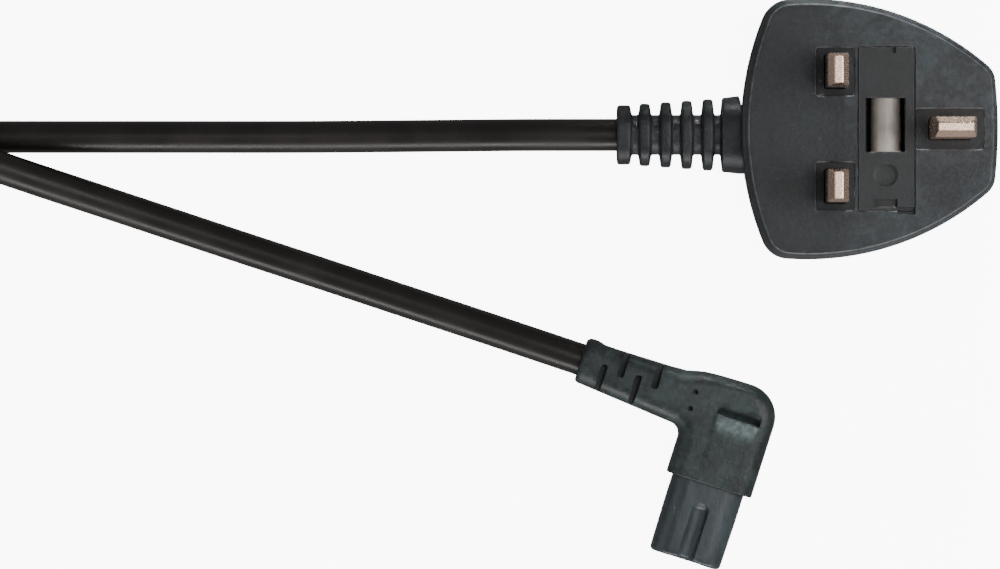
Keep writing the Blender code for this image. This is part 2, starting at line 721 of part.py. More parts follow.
def arm_sections():
    """The tapered arm that the cord enters, with a low bead at its end."""
    root_x = BODY_LEFT - INNER_CORNER_RADIUS
    low_end = ARM_AXIS_Y - ARM_END_WIDTH / 2
    high_end = ARM_AXIS_Y + ARM_END_WIDTH / 2
    stations = [
        (0.0, 1.0, 0.0), (0.03, 0.2, 0.8), (0.07, 0.0, 1.0), (0.13, 0.0, 0.9),
        (0.17, 0.0, 0.0), (0.45, 0.0, 0.0), (0.8, 0.0, 0.0),
    ]
    sections = []
    for share, edge, bead in stations:
        x = blend(ARM_END_X, root_x, share)
        inset = edge * ARM_END_EDGE
        low = blend(low_end, ARM_ROOT_LOW_Y, share) + inset
        high = blend(high_end, ARM_ROOT_HIGH_Y, share) + bead * ARM_BEAD - inset
        thickness = blend(ARM_END_THICKNESS, BODY_THICKNESS, share) - 2 * inset
        sections.append(connector_section((x, low), (x, high), thickness, SECTION_ROUNDING))
    return sections


def corner_sections():
    """The sections that fan round the inner corner."""
    inner_centre = (BODY_LEFT - INNER_CORNER_RADIUS, ARM_ROOT_LOW_Y - INNER_CORNER_RADIUS)
    outer_centre = (BODY_RIGHT - OUTER_CORNER_RADIUS, BODY_TOP - OUTER_CORNER_RADIUS)
    outer_points = [
        (inner_centre[0], ARM_ROOT_HIGH_Y),
        (BODY_LEFT + INNER_CORNER_RADIUS / 3, BODY_TOP - BODY_HUMP_STARTS[0]),
        (BODY_LEFT + 2.4 * INNER_CORNER_RADIUS, BODY_TOP - BODY_HUMP_STARTS[1]),
    ]
    outer_points += arc(outer_centre, OUTER_CORNER_RADIUS, pi / 2, 0.0, 8)
    outer_points.append((BODY_RIGHT, outer_centre[1]))
    outer_points.append((BODY_RIGHT, inner_centre[1]))
    sections = []
    last = len(outer_points) - 1
    for i, outer in enumerate(outer_points):
        angle = i / last * pi / 2
        inner = (
            inner_centre[0] + INNER_CORNER_RADIUS * sin(angle),
            inner_centre[1] + INNER_CORNER_RADIUS * cos(angle),
        )
        sections.append(connector_section(inner, outer, BODY_THICKNESS, SECTION_ROUNDING))
    return sections


def shoulder_sections():
    sections = []
    for y, inset in ((SHOULDER_Y + SHOULDER_EDGE, 0.0), (SHOULDER_Y, SHOULDER_EDGE)):
        inner = (BODY_LEFT + inset, y)
        outer = (BODY_RIGHT - inset, y)
        thickness = BODY_THICKNESS - 2 * inset
        sections.append(connector_section(inner, outer, thickness, SECTION_ROUNDING))
    return sections


def label_pad():
    """The raised pad on the broad face; it slopes down to the face on all sides."""
    face = 2 * CONNECTOR_Z
    width = PAD_RIGHT - PAD_LEFT
    height = PAD_TOP - PAD_BOTTOM
    centre = ((PAD_LEFT + PAD_RIGHT) / 2, (PAD_TOP + PAD_BOTTOM) / 2)
    rings = []
    levels = [(-PAD_SLOPE, 0.0), (0.0, 0.0), (0.7 * PAD_RISE, 0.5 * PAD_SLOPE), (PAD_RISE, PAD_SLOPE)]
    for level, inset in levels:
        points = rounded_rectangle(width - 2 * inset, height - 2 * inset, PAD_SLOPE * 1.5 - inset)
        rings.append([(centre[0] + x, centre[1] + y, face + level) for x, y in points])
    return loft(rings)


def nose_outline(width, thickness, waist):
    """Half-round ends joined by flats, with a rounded groove in the middle of each flat."""
    radius = thickness / 2
    reach = width / 2 - radius
    groove = WAIST_WIDTH / 2
    points = []
    for side in (1, -1):
        start = -pi / 2 if side > 0 else pi / 2
        points += arc((side * reach, 0.0), radius, start, start + pi, 12)
        points.append((side * reach, side * radius))
        for step in range(9):
            share = step / 8
            across = side * groove * (1 - 2 * share)
            depth = waist * sin(share * pi) ** 0.8
            points.append((across, side * (radius - depth)))
    return points


def nose_ring(y, grow, waist):
    points = nose_outline(NOSE_WIDTH + 2 * grow, NOSE_THICKNESS + 2 * grow, waist)
    return [(NOSE_X + x, y, CONNECTOR_Z + z) for x, z in points]


def connector_body(plastic, frame):
    """The right-angle overmould."""
    rings = arm_sections() + corner_sections() + shoulder_sections()
    body = add_object("connector_body", loft(rings), plastic, parent=frame)
    boolean(body, add_cutter("join_label_pad", label_pad(), plastic, parent=frame), "UNION")
    socket_ends = (SHOULDER_Y + NOSE_ROOT + GAP, SHOULDER_Y - NOSE_ROOT)
    socket = loft([nose_ring(y, PIN_GAP, 0.0) for y in socket_ends])
    boolean(body, add_cutter("cut_nose_socket", socket, plastic, parent=frame))
    face = 2 * CONNECTOR_Z
    top = face + PAD_SLOPE
    for slot in range(SLOT_COUNT):
        x = SLOT_LAST_X - slot * SLOT_PITCH
        up = slot % 2 == 0
        outline = rounded_rectangle(SLOT_WIDTH, SLOT_LENGTH, 0.49 * SLOT_WIDTH, 4)
        side = 1 if up else -1
        y = ARM_AXIS_Y + side * (SLOT_LENGTH - SLOT_OVERLAP) / 2
        share = (x - ARM_END_X) / (BODY_LEFT - ARM_END_X)
        surface = CONNECTOR_Z + blend(ARM_END_THICKNESS, BODY_THICKNESS, share) / 2
        cutter = prism(outline, surface - SLOT_DEPTH, top)
        boolean(body, add_cutter(f"cut_slot_{slot + 1}", cutter, plastic, (x, y, 0.0), frame))
    for number, y in enumerate(DOT_YS, 1):
        dot = turned([(0, -DOT_DEPTH), (DOT_RADIUS, -DOT_DEPTH), (DOT_RADIUS, PAD_SLOPE), (0, PAD_SLOPE)], 16)
        boolean(body, add_cutter(f"cut_dot_{number}", dot, plastic, (DOT_X, y, face), frame))
    groove = rounded_rectangle(PAD_RIGHT - PAD_LEFT - 2 * PAD_SLOPE, GROOVE_WIDTH, 0.49 * GROOVE_WIDTH, 4)
    cutter = add_cutter(
        "cut_groove",
        prism(groove, face - GROOVE_DEPTH, top),
        plastic,
        ((PAD_LEFT + PAD_RIGHT) / 2, GROOVE_Y, 0.0),
        frame,
    )
    boolean(body, cutter)


def connector_nose(plastic, frame):
    """The insert that enters the appliance: a stadium with a waist groove on both faces."""
    root = SHOULDER_Y + NOSE_ROOT
    start = SHOULDER_Y - WAIST_START
    end = SHOULDER_Y - NOSE_LENGTH
    rings = [
        nose_ring(root, 0.0, 0.0),
        nose_ring(start, 0.0, 0.0),
        nose_ring(start - 0.4 * WAIST_WIDTH, -0.2 * NOSE_TAPER, 0.75 * WAIST_DEPTH),
        nose_ring(start - 0.8 * WAIST_WIDTH, -0.3 * NOSE_TAPER, WAIST_DEPTH),
        nose_ring(end + NOSE_END_EDGE, -NOSE_TAPER, WAIST_DEPTH),
        nose_ring(end + 0.3 * NOSE_END_EDGE, -NOSE_TAPER - 0.3 * NOSE_END_EDGE, WAIST_DEPTH),
        nose_ring(end, -NOSE_TAPER - NOSE_END_EDGE, WAIST_DEPTH),
    ]
    nose = add_object("connector_nose", loft(rings), plastic, parent=frame)
    for name, side in (("line", 1), ("neutral", -1)):
        hole = turned(
            [
                (0, 0),
                (CONTACT_HOLE_RADIUS, 0),
                (CONTACT_HOLE_RADIUS, CONTACT_HOLE_DEPTH + GAP),
                (0, CONTACT_HOLE_DEPTH + GAP),
            ],
            20,
        )
        place = (NOSE_X + side * CONTACT_SPACING / 2, end + CONTACT_HOLE_DEPTH, CONNECTOR_Z)
        cutter = add_cutter(f"cut_{name}_contact", hole, plastic, place, frame)
        cutter.rotation_euler = (pi / 2, 0.0, 0.0)
        boolean(nose, cutter)


def connector_contacts(brass, frame):
    """The two socket tubes, set back a little in the nose."""
    length = CONTACT_HOLE_DEPTH - GAP - CONTACT_SETBACK
    end = SHOULDER_Y - NOSE_LENGTH
    for name, side in (("line", 1), ("neutral", -1)):
        tube = turned(
            [
                (0, 0),
                (CONTACT_RADIUS, 0),
                (CONTACT_RADIUS, length),
                (CONTACT_BORE_RADIUS, length),
                (CONTACT_BORE_RADIUS, CONTACT_RADIUS),
                (0, CONTACT_RADIUS),
            ],
            20,
        )
        place = (NOSE_X + side * CONTACT_SPACING / 2, end + CONTACT_HOLE_DEPTH - GAP, CONNECTOR_Z)
        contact = add_object(f"{name}_contact", tube, brass, place, frame)
        contact.rotation_euler = (pi / 2, 0.0, 0.0)


def smooth_route(points):
    """Evenly spaced points on a smooth curve through the route's own points."""
    route = np.array(points)
    ends = np.vstack([2 * route[0] - route[1], route, 2 * route[-1] - route[-2]])
    fine = []
    for a, b, c, d in zip(ends, ends[1:], ends[2:], ends[3:]):
        for t in np.linspace(0.0, 1.0, 24, endpoint=False):
            square = 2 * a - 5 * b + 4 * c - d
            cube = 3 * b - a - 3 * c + d
            fine.append(b + (c - a) * t / 2 + square * t**2 / 2 + cube * t**3 / 2)
    fine = np.array([*fine, route[-1]])
    lengths = np.linalg.norm(np.diff(fine, axis=0), axis=1)
    along = np.concatenate([[0.0], np.cumsum(lengths)])
    count = round(along[-1] / (CORD_STEP * CORD_DIAMETER)) + 1
    marks = np.linspace(0.0, along[-1], count)
    return np.column_stack([np.interp(marks, along, fine[:, axis]) for axis in range(3)])


def run_points(bends, low, high):
    """Points of a free stretch, each at its share of the way from one height to another."""
    return [(RELIEF_END_X - along * FREE_RUN, y * MM, blend(low, high, share)) for along, y, share in bends]


def turn_points(bends, low, high):
    """Points by the coil, likewise."""
    centre_x, centre_y = COIL_CENTRE
    return [(centre_x + x * MM, centre_y + y * MM, blend(low, high, share)) for x, y, share in bends]


def coil_meeting(angle, height):
    """The end of a free stretch, a gap away from the coil's outside."""
    reach = COIL_OUTER_TURN + CORD_DIAMETER + GAP
    return (COIL_CENTRE[0] + reach * cos(angle), COIL_CENTRE[1] + reach * sin(angle), height)


def plug_route():
    return [
        (RELIEF_END_X - GAP, RELIEF_Y, RELIEF_Z),
        *run_points(PLUG_RUN, FLOOR_Z, RELIEF_Z),
        *turn_points(PLUG_TURN, FLOOR_Z, RELIEF_Z),
        coil_meeting(PLUG_RUN_END, blend(FLOOR_Z, LOWEST_TURN_Z, 0.5)),
    ]


def connector_route():
    turn = Matrix.Rotation(CONNECTOR_TURN, 3, "Z")
    start = CONNECTOR_PLACE + turn @ Vector((ARM_END_X - GAP, ARM_AXIS_Y, CONNECTOR_Z))
    end = coil_meeting(CONNECTOR_RUN_END, blend(CROSSING_Z, TOP_TURN_Z, 0.85))
    return [
        tuple(start),
        *run_points(CONNECTOR_RUN_LOW, FLOOR_Z, CONNECTOR_Z),
        *run_points([*CONNECTOR_RUN_RISING, CONNECTOR_RUN_CROSSING], FLOOR_Z, CROSSING_Z),
        *turn_points(CONNECTOR_TURN_IN, CROSSING_Z, TOP_TURN_Z),
        end,
    ]


def cord_tube(name, points, sheath):
    """One free stretch of the cord, as a poly curve with a round bevel."""
    curve = bpy.data.curves.new(name, "CURVE")
    curve.dimensions = "3D"
    curve.bevel_depth = CORD_RADIUS
    curve.bevel_resolution = 3
    curve.use_fill_caps = True
    spline = curve.splines.new("POLY")
    route = smooth_route(points)
    spline.points.add(len(route) - 1)
    for point, place in zip(spline.points, route):
        point.co = (*place, 1.0)
    spline.use_smooth = True
    curve.materials.append(sheath)
    bpy.context.collection.objects.link(bpy.data.objects.new(name, curve))


def coil_profile(grow):
    """The section round all turns, as (radius, height) points."""
    corners = [
        (COIL_INNER_TURN, LOWEST_TURN_Z),
        (COIL_OUTER_TURN, LOWEST_TURN_Z),
        (COIL_OUTER_TURN, TOP_TURN_Z),
        (COIL_INNER_TURN, TOP_TURN_Z),
    ]
    points = []
    for i, corner in enumerate(corners):
        start = (i - 2) * pi / 2
        points += arc(corner, CORD_RADIUS + grow, start, start + pi / 2, 4)
        points.append(edge_point(corner, CORD_RADIUS + grow, start + pi / 2))
    return points


def edge_point(centre, radius, angle):
    return (centre[0] + radius * cos(angle), centre[1] + radius * sin(angle))


def around_coil(profile, angle):
    return [(r * cos(angle), r * sin(angle), z) for r, z in profile]


def cord_coil(sheath):
    """The outer shape of the wound surplus."""
    bm = bmesh.new()
    steps = 64
    rings = [add_ring(bm, around_coil(coil_profile(0.0), 2 * pi * i / steps)) for i in range(steps)]
    for i, ring in enumerate(rings):
        bridge(bm, ring, rings[(i + 1) % steps])
    add_object("cord_coil", bm, sheath, (*COIL_CENTRE, 0.0))


def coil_ties(webbing):
    """Thin straps, each wrapped once round the turns."""
    half = asin(TIE_WIDTH / 2 / COIL_OUTER_TURN)
    for number, middle in enumerate(TIE_ANGLES, 1):
        angles = [middle + half * share for share in (-1.0, -0.5, 0.0, 0.5, 1.0)]
        outer = [around_coil(coil_profile(GAP + TIE_THICKNESS), angle) for angle in angles]
        inner = [around_coil(coil_profile(GAP), angle) for angle in angles]
        add_object(f"coil_tie_{number}", hollow_loft(outer, inner), webbing, (*COIL_CENTRE, 0.0))


def build():
    clear_scene()
    body_pvc = material("body_pvc", (0.022, 0.025, 0.028), 0.45)
    carrier_nylon = material("carrier_nylon", (0.028, 0.030, 0.032), 0.4)
    sleeve_nylon = material("sleeve_nylon", (0.012, 0.012, 0.013), 0.4)
    nose_nylon = material("nose_nylon", (0.03, 0.038, 0.042), 0.35)
    sheath_pvc = material("sheath_pvc", (0.012, 0.010, 0.009), 0.35)
    brass = material("brass", (0.62, 0.42, 0.31), 0.3, 1.0)
    cap_metal = material("fuse_cap_metal", (0.7, 0.68, 0.64), 0.25, 1.0)
    ceramic = material("fuse_ceramic", (0.62, 0.58, 0.52), 0.5)
    webbing = material("tie_webbing", (0.02, 0.02, 0.02), 0.8)

    plug_body(body_pvc)
    for name in ("line", "neutral"):
        live_pin(name, brass)
        pin_sleeve(name, sleeve_nylon)
    earth_pin(brass)
    fuse_carrier(carrier_nylon)
    fuse(ceramic, cap_metal)
    fuse_clips(brass)

    frame = connector_frame()
    connector_body(body_pvc, frame)
    connector_nose(nose_nylon, frame)
    connector_contacts(brass, frame)

    cord_tube("cord_plug_run", plug_route(), sheath_pvc)
    cord_tube("cord_connector_run", connector_route(), sheath_pvc)
    cord_coil(sheath_pvc)
    coil_ties(webbing)


build()
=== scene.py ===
"""Figure-eight power cord: the finished look of every piece, and the small studio round it.

Metres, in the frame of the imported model: +Z up, the plug lies on its flat back round the
origin with its pins up, and the cord leaves it towards -X.
"""

from math import asin, atan2, cos, exp, hypot, pi, radians, sin, sqrt

import bmesh
import bpy
import numpy as np
from bpy.props import FloatProperty, FloatVectorProperty, IntProperty, PointerProperty
from bpy.types import Operator, Panel, PropertyGroup
from mathutils import Matrix, Vector


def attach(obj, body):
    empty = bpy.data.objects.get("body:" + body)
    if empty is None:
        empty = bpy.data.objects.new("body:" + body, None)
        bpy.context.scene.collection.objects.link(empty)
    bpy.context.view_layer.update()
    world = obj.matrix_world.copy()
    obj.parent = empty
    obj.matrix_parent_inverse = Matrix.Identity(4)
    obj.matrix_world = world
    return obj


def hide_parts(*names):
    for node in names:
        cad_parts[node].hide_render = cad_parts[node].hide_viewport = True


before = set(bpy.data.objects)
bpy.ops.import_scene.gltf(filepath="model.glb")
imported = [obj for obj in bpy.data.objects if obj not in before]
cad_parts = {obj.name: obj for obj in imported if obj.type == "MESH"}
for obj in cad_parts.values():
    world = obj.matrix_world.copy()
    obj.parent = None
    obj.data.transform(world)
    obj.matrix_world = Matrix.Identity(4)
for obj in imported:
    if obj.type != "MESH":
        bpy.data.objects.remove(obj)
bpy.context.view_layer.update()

bl_info = {
    "name": "Figure-Eight Power Cord",
    "version": (1, 0, 0),
    "blender": (4, 5, 0),
    "location": "View3D > Sidebar > Power Cord",
    "description": "Builds a fused plug, its cord and a right-angle figure-eight connector",
    "category": "Add Mesh",
}

MM = 0.001
LEAD = "lead"                   # the body that stands still
DRAWER = "fuse_drawer"          # the body that slides out of the plug

# Clearances between pieces
GAP = 0.3 * MM
PIN_GAP = 0.2 * MM

# Plug moulding
PLUG_LENGTH = 49.7 * MM
PLUG_WIDTH = 50.6 * MM
FACE_Z = 18.0 * MM
WIDEST_X = -12.0 * MM
CORD_SIDE_RADIUS = 58.0 * MM
LONG_SIDE_RADIUS = 53.5 * MM
EARTH_END_RADIUS = 90.0 * MM
CORD_CORNER_RADIUS = 5.5 * MM
EARTH_CORNER_RADIUS = 4.5 * MM
BACK_EDGE_INSET = 3.825 * MM
BACK_EDGE_HEIGHT = 5.0 * MM
PARTING_Z = 9.8 * MM
PARTING_STEP = 0.3 * MM
RIM_SHIFT = 0.3 * MM
EDGE = 0.12 * MM                # broken edge of a moulded corner

# Strain relief
RELIEF_LENGTH = 24.0 * MM
RELIEF_Y = -1.0 * MM
RELIEF_Z = 8.5 * MM
RIB_COUNT = 5
RIB_PITCH = 4.09 * MM
RIB_LENGTH = 1.9 * MM
END_RIB_LENGTH = 2.5 * MM       # the rib at the cord's end is longer
RIB_WIDTHS = (11.6 * MM, 13.9 * MM)
RIB_FLATNESS = 0.9
RIB_ROUNDING = 0.42
CORE_WIDTH = 7.8 * MM
COLLAR_LENGTH = 3.6 * MM
COLLAR_WIDTHS = (14.5 * MM, 15.2 * MM)

# Pins
PIN_SPACING = 22.23 * MM
PIN_ROW_X = -6.75 * MM
PIN_WIDTH = 6.35 * MM
PIN_THICKNESS = 3.95 * MM
PIN_LENGTH = 17.7 * MM
EARTH_PIN_WIDTH = 7.95 * MM
EARTH_PIN_LENGTH = 22.73 * MM
PIN_ROOT = 4.6 * MM
PIN_RECESS = 0.3 * MM
TIP_HEIGHT = 1.6 * MM
TIP_END_SLOPE = 0.6 * MM
SLEEVE_LENGTH = 9.5 * MM
SLEEVE_WALL = 0.5 * MM

# Fuse drawer
CARRIER_X = 3.2 * MM
CARRIER_WIDTH = 10.6 * MM
CARRIER_LENGTH = 31.4 * MM
CARRIER_PLATE = 1.2 * MM
DRAWER_PLAY = 0.16 * MM         # by which the drawer fills its pocket closer than the solid does
POCKET_DEPTH = 8.85 * MM
FUSE_LENGTH = 25.4 * MM
FUSE_RADIUS = 3.175 * MM
FUSE_CAP_LENGTH = 5.6 * MM
FUSE_CAP_WALL = 0.35 * MM
FUSE_TUBE_RADIUS = 2.95 * MM
FUSE_Z = FACE_Z - 4.675 * MM
CLIP_THICKNESS = 0.4 * MM
CLIP_CORNER = 0.9 * MM

# Connector, in its own frame: +X along the arm to the body, the nose pointing to -Y
CONNECTOR_PLACE = Vector((-30.97 * MM, -64.42 * MM, 0.0))
CONNECTOR_TURN = radians(-17.7)
CONNECTOR_TO_WORLD = Matrix.Translation(CONNECTOR_PLACE) @ Matrix.Rotation(CONNECTOR_TURN, 4, "Z")
BODY_THICKNESS = 10.4 * MM
CONNECTOR_Z = BODY_THICKNESS / 2
BODY_LEFT = -7.2 * MM
BODY_RIGHT = 10.1 * MM
BODY_TOP = 16.6 * MM
BODY_CORNER = 6.5 * MM
INNER_CORNER = 2.3 * MM
SHOULDER_Y = -4.6 * MM
ARM_END_X = -29.7 * MM
ARM_LENGTH = 20.2 * MM
ARM_AXIS_Y = 11.0 * MM
ARM_THICKNESS = (8.8, 10.4)     # in millimetres, from the cord's end to the body
ARM_LOW = (6.65, 4.8)
ARM_HIGH = (15.35, 15.3)
NOSE_X = 1.35 * MM
NOSE_WIDTH = 14.6 * MM
NOSE_THICKNESS = 7.8 * MM
NOSE_LENGTH = 15.4 * MM
NOSE_END = SHOULDER_Y - NOSE_LENGTH
WAIST_HALF = 1.65 * MM
CONTACT_SPACING = 8.6 * MM
CONTACT_LENGTH = 11.7 * MM

# Cord, coil and straps
CORD_RADIUS = 3.15 * MM
BORE_RADIUS = 3.25 * MM         # the cord enters both mouldings through a bore
BORE_DEPTH = 3.0 * MM
COIL_CENTRE = Vector((-256.7 * MM, -20.1 * MM, 0.0))
COIL_INNER_TURN = 26.9 * MM
TURN_PITCH = 6.35 * MM
LOWEST_TURN_Z = 4.65 * MM
COIL_START = radians(-5)
COIL_TURNS = 6.786
TURNS_PER_LAYER = 2.0
LAYERS = 4
STEPS_PER_TURN = 72
STRAP_ANGLES = (radians(150), radians(290))
STRAP_HALF_WIDTH = 5.0 * MM
STRAP_GAP = 0.12 * MM
STRAP_THICKNESS = 1.2 * MM

# The cord's route in millimetres, each run from its moulding to the coil
CORD_EXIT = (-48.85, -1.0, 8.5)
PLUG_RUN = [
    (-46.2, -1.0, 8.5), (-49.15, -1.0, 8.5), (-57.0, -1.0, 8.34), (-68.0, -1.0, 7.28),
    (-82.0, -1.1, 5.37), (-96.0, -1.2, 3.94), (-112.0, -1.3, 3.31), (-140.0, -1.3, 3.2),
    (-168.0, -1.3, 3.2), (-186.0, -1.3, 3.2), (-195.1, -2.2, 3.2), (-201.8, -5.0, 3.25),
    (-207.4, -9.4, 3.5), (-211.6, -15.0, 4.0),
]
CONNECTOR_RUN = [
    (-53.36, -45.6, 5.2), (-56.18, -44.72, 5.2), (-64.0, -42.1, 5.06), (-76.0, -38.1, 4.3),
    (-90.0, -33.5, 3.5), (-106.0, -28.2, 3.22), (-124.0, -22.3, 3.22), (-140.0, -17.0, 3.8),
    (-150.0, -13.7, 4.6), (-160.0, -10.4, 6.0), (-169.5, -7.2, 7.8), (-178.0, -4.4, 9.58),
    (-187.3, -1.3, 11.7), (-198.0, 2.2, 14.52), (-209.5, 6.0, 18.0), (-221.5, 9.9, 21.9),
    (-230.0, 12.8, 23.2),
]


def mm(*values):
    return tuple(value * MM for value in values)


def colour_setting(name, description, default):
    return FloatVectorProperty(
        name=name, description=description, subtype="COLOR", size=3, min=0, max=1, default=default,
    )


def length_setting(name, description, default, **limits):
    return FloatProperty(name=name, description=description, unit="LENGTH", default=default, **limits)


def power_setting(name, description, default):
    return FloatProperty(name=name, description=description, unit="POWER", min=0, default=default)


class StageSettings(PropertyGroup):
    """Floor, lights and camera"""

    floor_colour: colour_setting("Floor Colour", "Colour of the plain floor", (0.86, 0.86, 0.855))
    floor_size: length_setting("Floor Size", "Length of the floor's sides", 3.0, min=1)
    camera_height: length_setting("Camera Height", "Height of the camera above the floor", 1.6, min=0.5)
    camera_lens: FloatProperty(
        name="Camera Lens", description="Focal length, in millimetres on a 36 mm sensor",
        min=20, default=293.96,
    )
    floor_glow: FloatProperty(
        name="Floor Glow", description="Light that the translucent floor gives off", min=0, default=9.0,
    )
    sky: FloatProperty(
        name="Sky", description="Brightness of the studio's walls", min=0, default=0.25,
    )
    overhead_power: power_setting("Overhead Light", "Power of the small light beside the camera", 3.5)
    strip_power: power_setting("Strip Light", "Power of the low strip that lights the cord", 11.5)
    rim_power: power_setting("Rim Light", "Power of the gridded light on the plug's far rim", 0.03)
    side_power: power_setting("Side Light", "Power of each soft light at the two ends", 1.2)


class PlugSettings(PropertyGroup):
    """Moulding of the plug"""

    colour: colour_setting("Moulding Colour", "Colour of the soft black plastic", (0.008, 0.009, 0.0105))
    rim_width: length_setting(
        "Rim Width", "Width of the sloped rim round the contact face", 1.3 * MM, min=0.0005, max=0.003,
    )
    rim_height: length_setting(
        "Rim Height", "Drop of the rim to the wall", 1.0 * MM, min=0.0002, max=0.003,
    )


class PinSettings(PropertyGroup):
    """Pins and their sleeves"""

    colour: colour_setting("Brass Colour", "Colour of the bare pins", (0.78, 0.56, 0.44))
    sleeve_colour: colour_setting(
        "Sleeve Colour", "Colour of the insulating sleeves", (0.012, 0.012, 0.013),
    )
    tip_slope: length_setting(
        "Tip Slope", "Width of the long slopes at a pin's tip", 1.15 * MM, min=0.0003, max=0.0017,
    )


class DrawerSettings(PropertyGroup):
    """Fuse carrier and fuse"""

    carrier_colour: colour_setting("Carrier Colour", "Colour of the drawer", (0.009, 0.0095, 0.0105))
    ceramic_colour: colour_setting("Ceramic Colour", "Colour of the fuse's tube", (0.47, 0.42, 0.375))
    cap_colour: colour_setting("Cap Colour", "Colour of the fuse's end caps", (0.72, 0.7, 0.66))


class ConnectorSettings(PropertyGroup):
    """Right-angle connector"""

    colour: colour_setting(
        "Moulding Colour", "Colour of the connector's soft plastic", (0.010, 0.012, 0.012),
    )
    nose_colour: colour_setting("Nose Colour", "Colour of the hard insert", (0.028, 0.036, 0.04))
    waist_depth: length_setting(
        "Waist Depth", "Depth of the groove on each side of the nose", 1.3 * MM, min=0.0002, max=0.0025,
    )


class CordSettings(PropertyGroup):
    """Mains cord, coil and straps"""

    length: length_setting("Length", "Real length of the cord", 1.8, min=1, max=3)
    colour: colour_setting("Sheath Colour", "Colour of the cord's sheath", (0.012, 0.010, 0.009))
    strap_colour: colour_setting("Strap Colour", "Colour of the woven straps", (0.02, 0.02, 0.021))
    sides: IntProperty(
        name="Sides", description="Number of flat sides of the cord's tube", min=8, max=64, default=28,
    )


class PowerCordSettings(PropertyGroup):
    """All sizes and colours of the model"""

    stage: PointerProperty(type=StageSettings)
    plug: PointerProperty(type=PlugSettings)
    pins: PointerProperty(type=PinSettings)
    drawer: PointerProperty(type=DrawerSettings)
    connector: PointerProperty(type=ConnectorSettings)
    cord: PointerProperty(type=CordSettings)


# Materials


class Wire:
    """A socket that adds its own Math nodes where it is used in an expression."""

    def __init__(self, finish, socket):
        self.finish = finish
        self.socket = socket

    def maths(self, operation, *terms):
        return self.finish.add("ShaderNodeMath", {"operation": operation}, dict(enumerate(terms)))

    def __add__(self, other):
        return self.maths("ADD", self, other)

    def __sub__(self, other):
        return self.maths("SUBTRACT", self, other)

    def __rsub__(self, other):
        return self.maths("SUBTRACT", other, self)

    def __mul__(self, other):
        return self.maths("MULTIPLY", self, other)

    __radd__ = __add__
    __rmul__ = __mul__


class Finish:
    """One material: a Principled shader and the nodes that feed it."""

    def __init__(self, name, roughness=0.5, metallic=0.0, **constants):
        self.material = bpy.data.materials.new(name)
        self.material.use_nodes = True
        self.tree = self.material.node_tree
        self.shader = self.tree.nodes["Principled BSDF"]
        self.shader.inputs["Roughness"].default_value = roughness
        self.shader.inputs["Metallic"].default_value = metallic
        for socket, value in constants.items():
            self.shader.inputs[socket.replace("_", " ")].default_value = value

    def add(self, kind, settings=None, inputs=None, output=0):
        """Any node: its settings first, then the values or links of its sockets."""
        node = self.tree.nodes.new(kind)
        for name, value in (settings or {}).items():
            setattr(node, name, value)
        for key, value in (inputs or {}).items():
            if isinstance(value, Wire):
                self.tree.links.new(value.socket, node.inputs[key])
            else:
                node.inputs[key].default_value = value
        return Wire(self, node.outputs[output])

    def place(self):
        """Position on the piece, in metres."""
        return self.add("ShaderNodeTexCoord", output="Object")

    def stretched(self, place, scale):
        inputs = {"Vector": place, "Scale": scale}
        return self.add("ShaderNodeMapping", {"vector_type": "POINT"}, inputs)

    def noise(self, place, scale, detail=3.0, roughness=0.55, distortion=0.0):
        inputs = {
            "Vector": place, "Scale": scale, "Detail": detail,
            "Roughness": roughness, "Distortion": distortion,
        }
        return self.add("ShaderNodeTexNoise", {"noise_dimensions": "3D"}, inputs)

    def cells(self, place, scale):
        return self.add("ShaderNodeTexVoronoi", {}, {"Vector": place, "Scale": scale}, "Distance")

    def between(self, value, low, high, start=0.0, end=1.0):
        """The value's way from low to high, eased, as a share or as any other range."""
        inputs = {"Value": value, "From Min": low, "From Max": high, "To Min": start, "To Max": end}
        return self.add("ShaderNodeMapRange", {"interpolation_type": "SMOOTHSTEP"}, inputs)

    def band(self, height, level, *edges):
        """1 between the two inner edges and 0 outside the outer ones, in millimetres from a level."""
        start, full, last, end = (level + edge * MM for edge in edges)
        return self.between(height, start, full) * self.between(height, end, last)

    def blend(self, share, first, second):
        inputs = {"Factor": share, 6: self.colour(first), 7: self.colour(second)}
        return self.add("ShaderNodeMix", {"data_type": "RGBA"}, inputs, 2)

    def colour(self, value):
        return value if isinstance(value, Wire) else (*value, 1.0)

    def axis(self, place, name):
        return self.add("ShaderNodeSeparateXYZ", {}, {"Vector": place}, name)

    def relief(self, height, distance, strength=1.0):
        inputs = {"Height": height, "Distance": distance, "Strength": strength}
        self.drive("Normal", self.add("ShaderNodeBump", {}, inputs))

    def paint(self, wire):
        self.drive("Base Color", wire)

    def drive(self, socket, wire):
        self.tree.links.new(wire.socket, self.shader.inputs[socket])


def tinted(colour, factor, shift=(0.0, 0.0, 0.0)):
    return tuple(min(1.0, max(0.0, c * factor + s)) for c, s in zip(colour, shift))


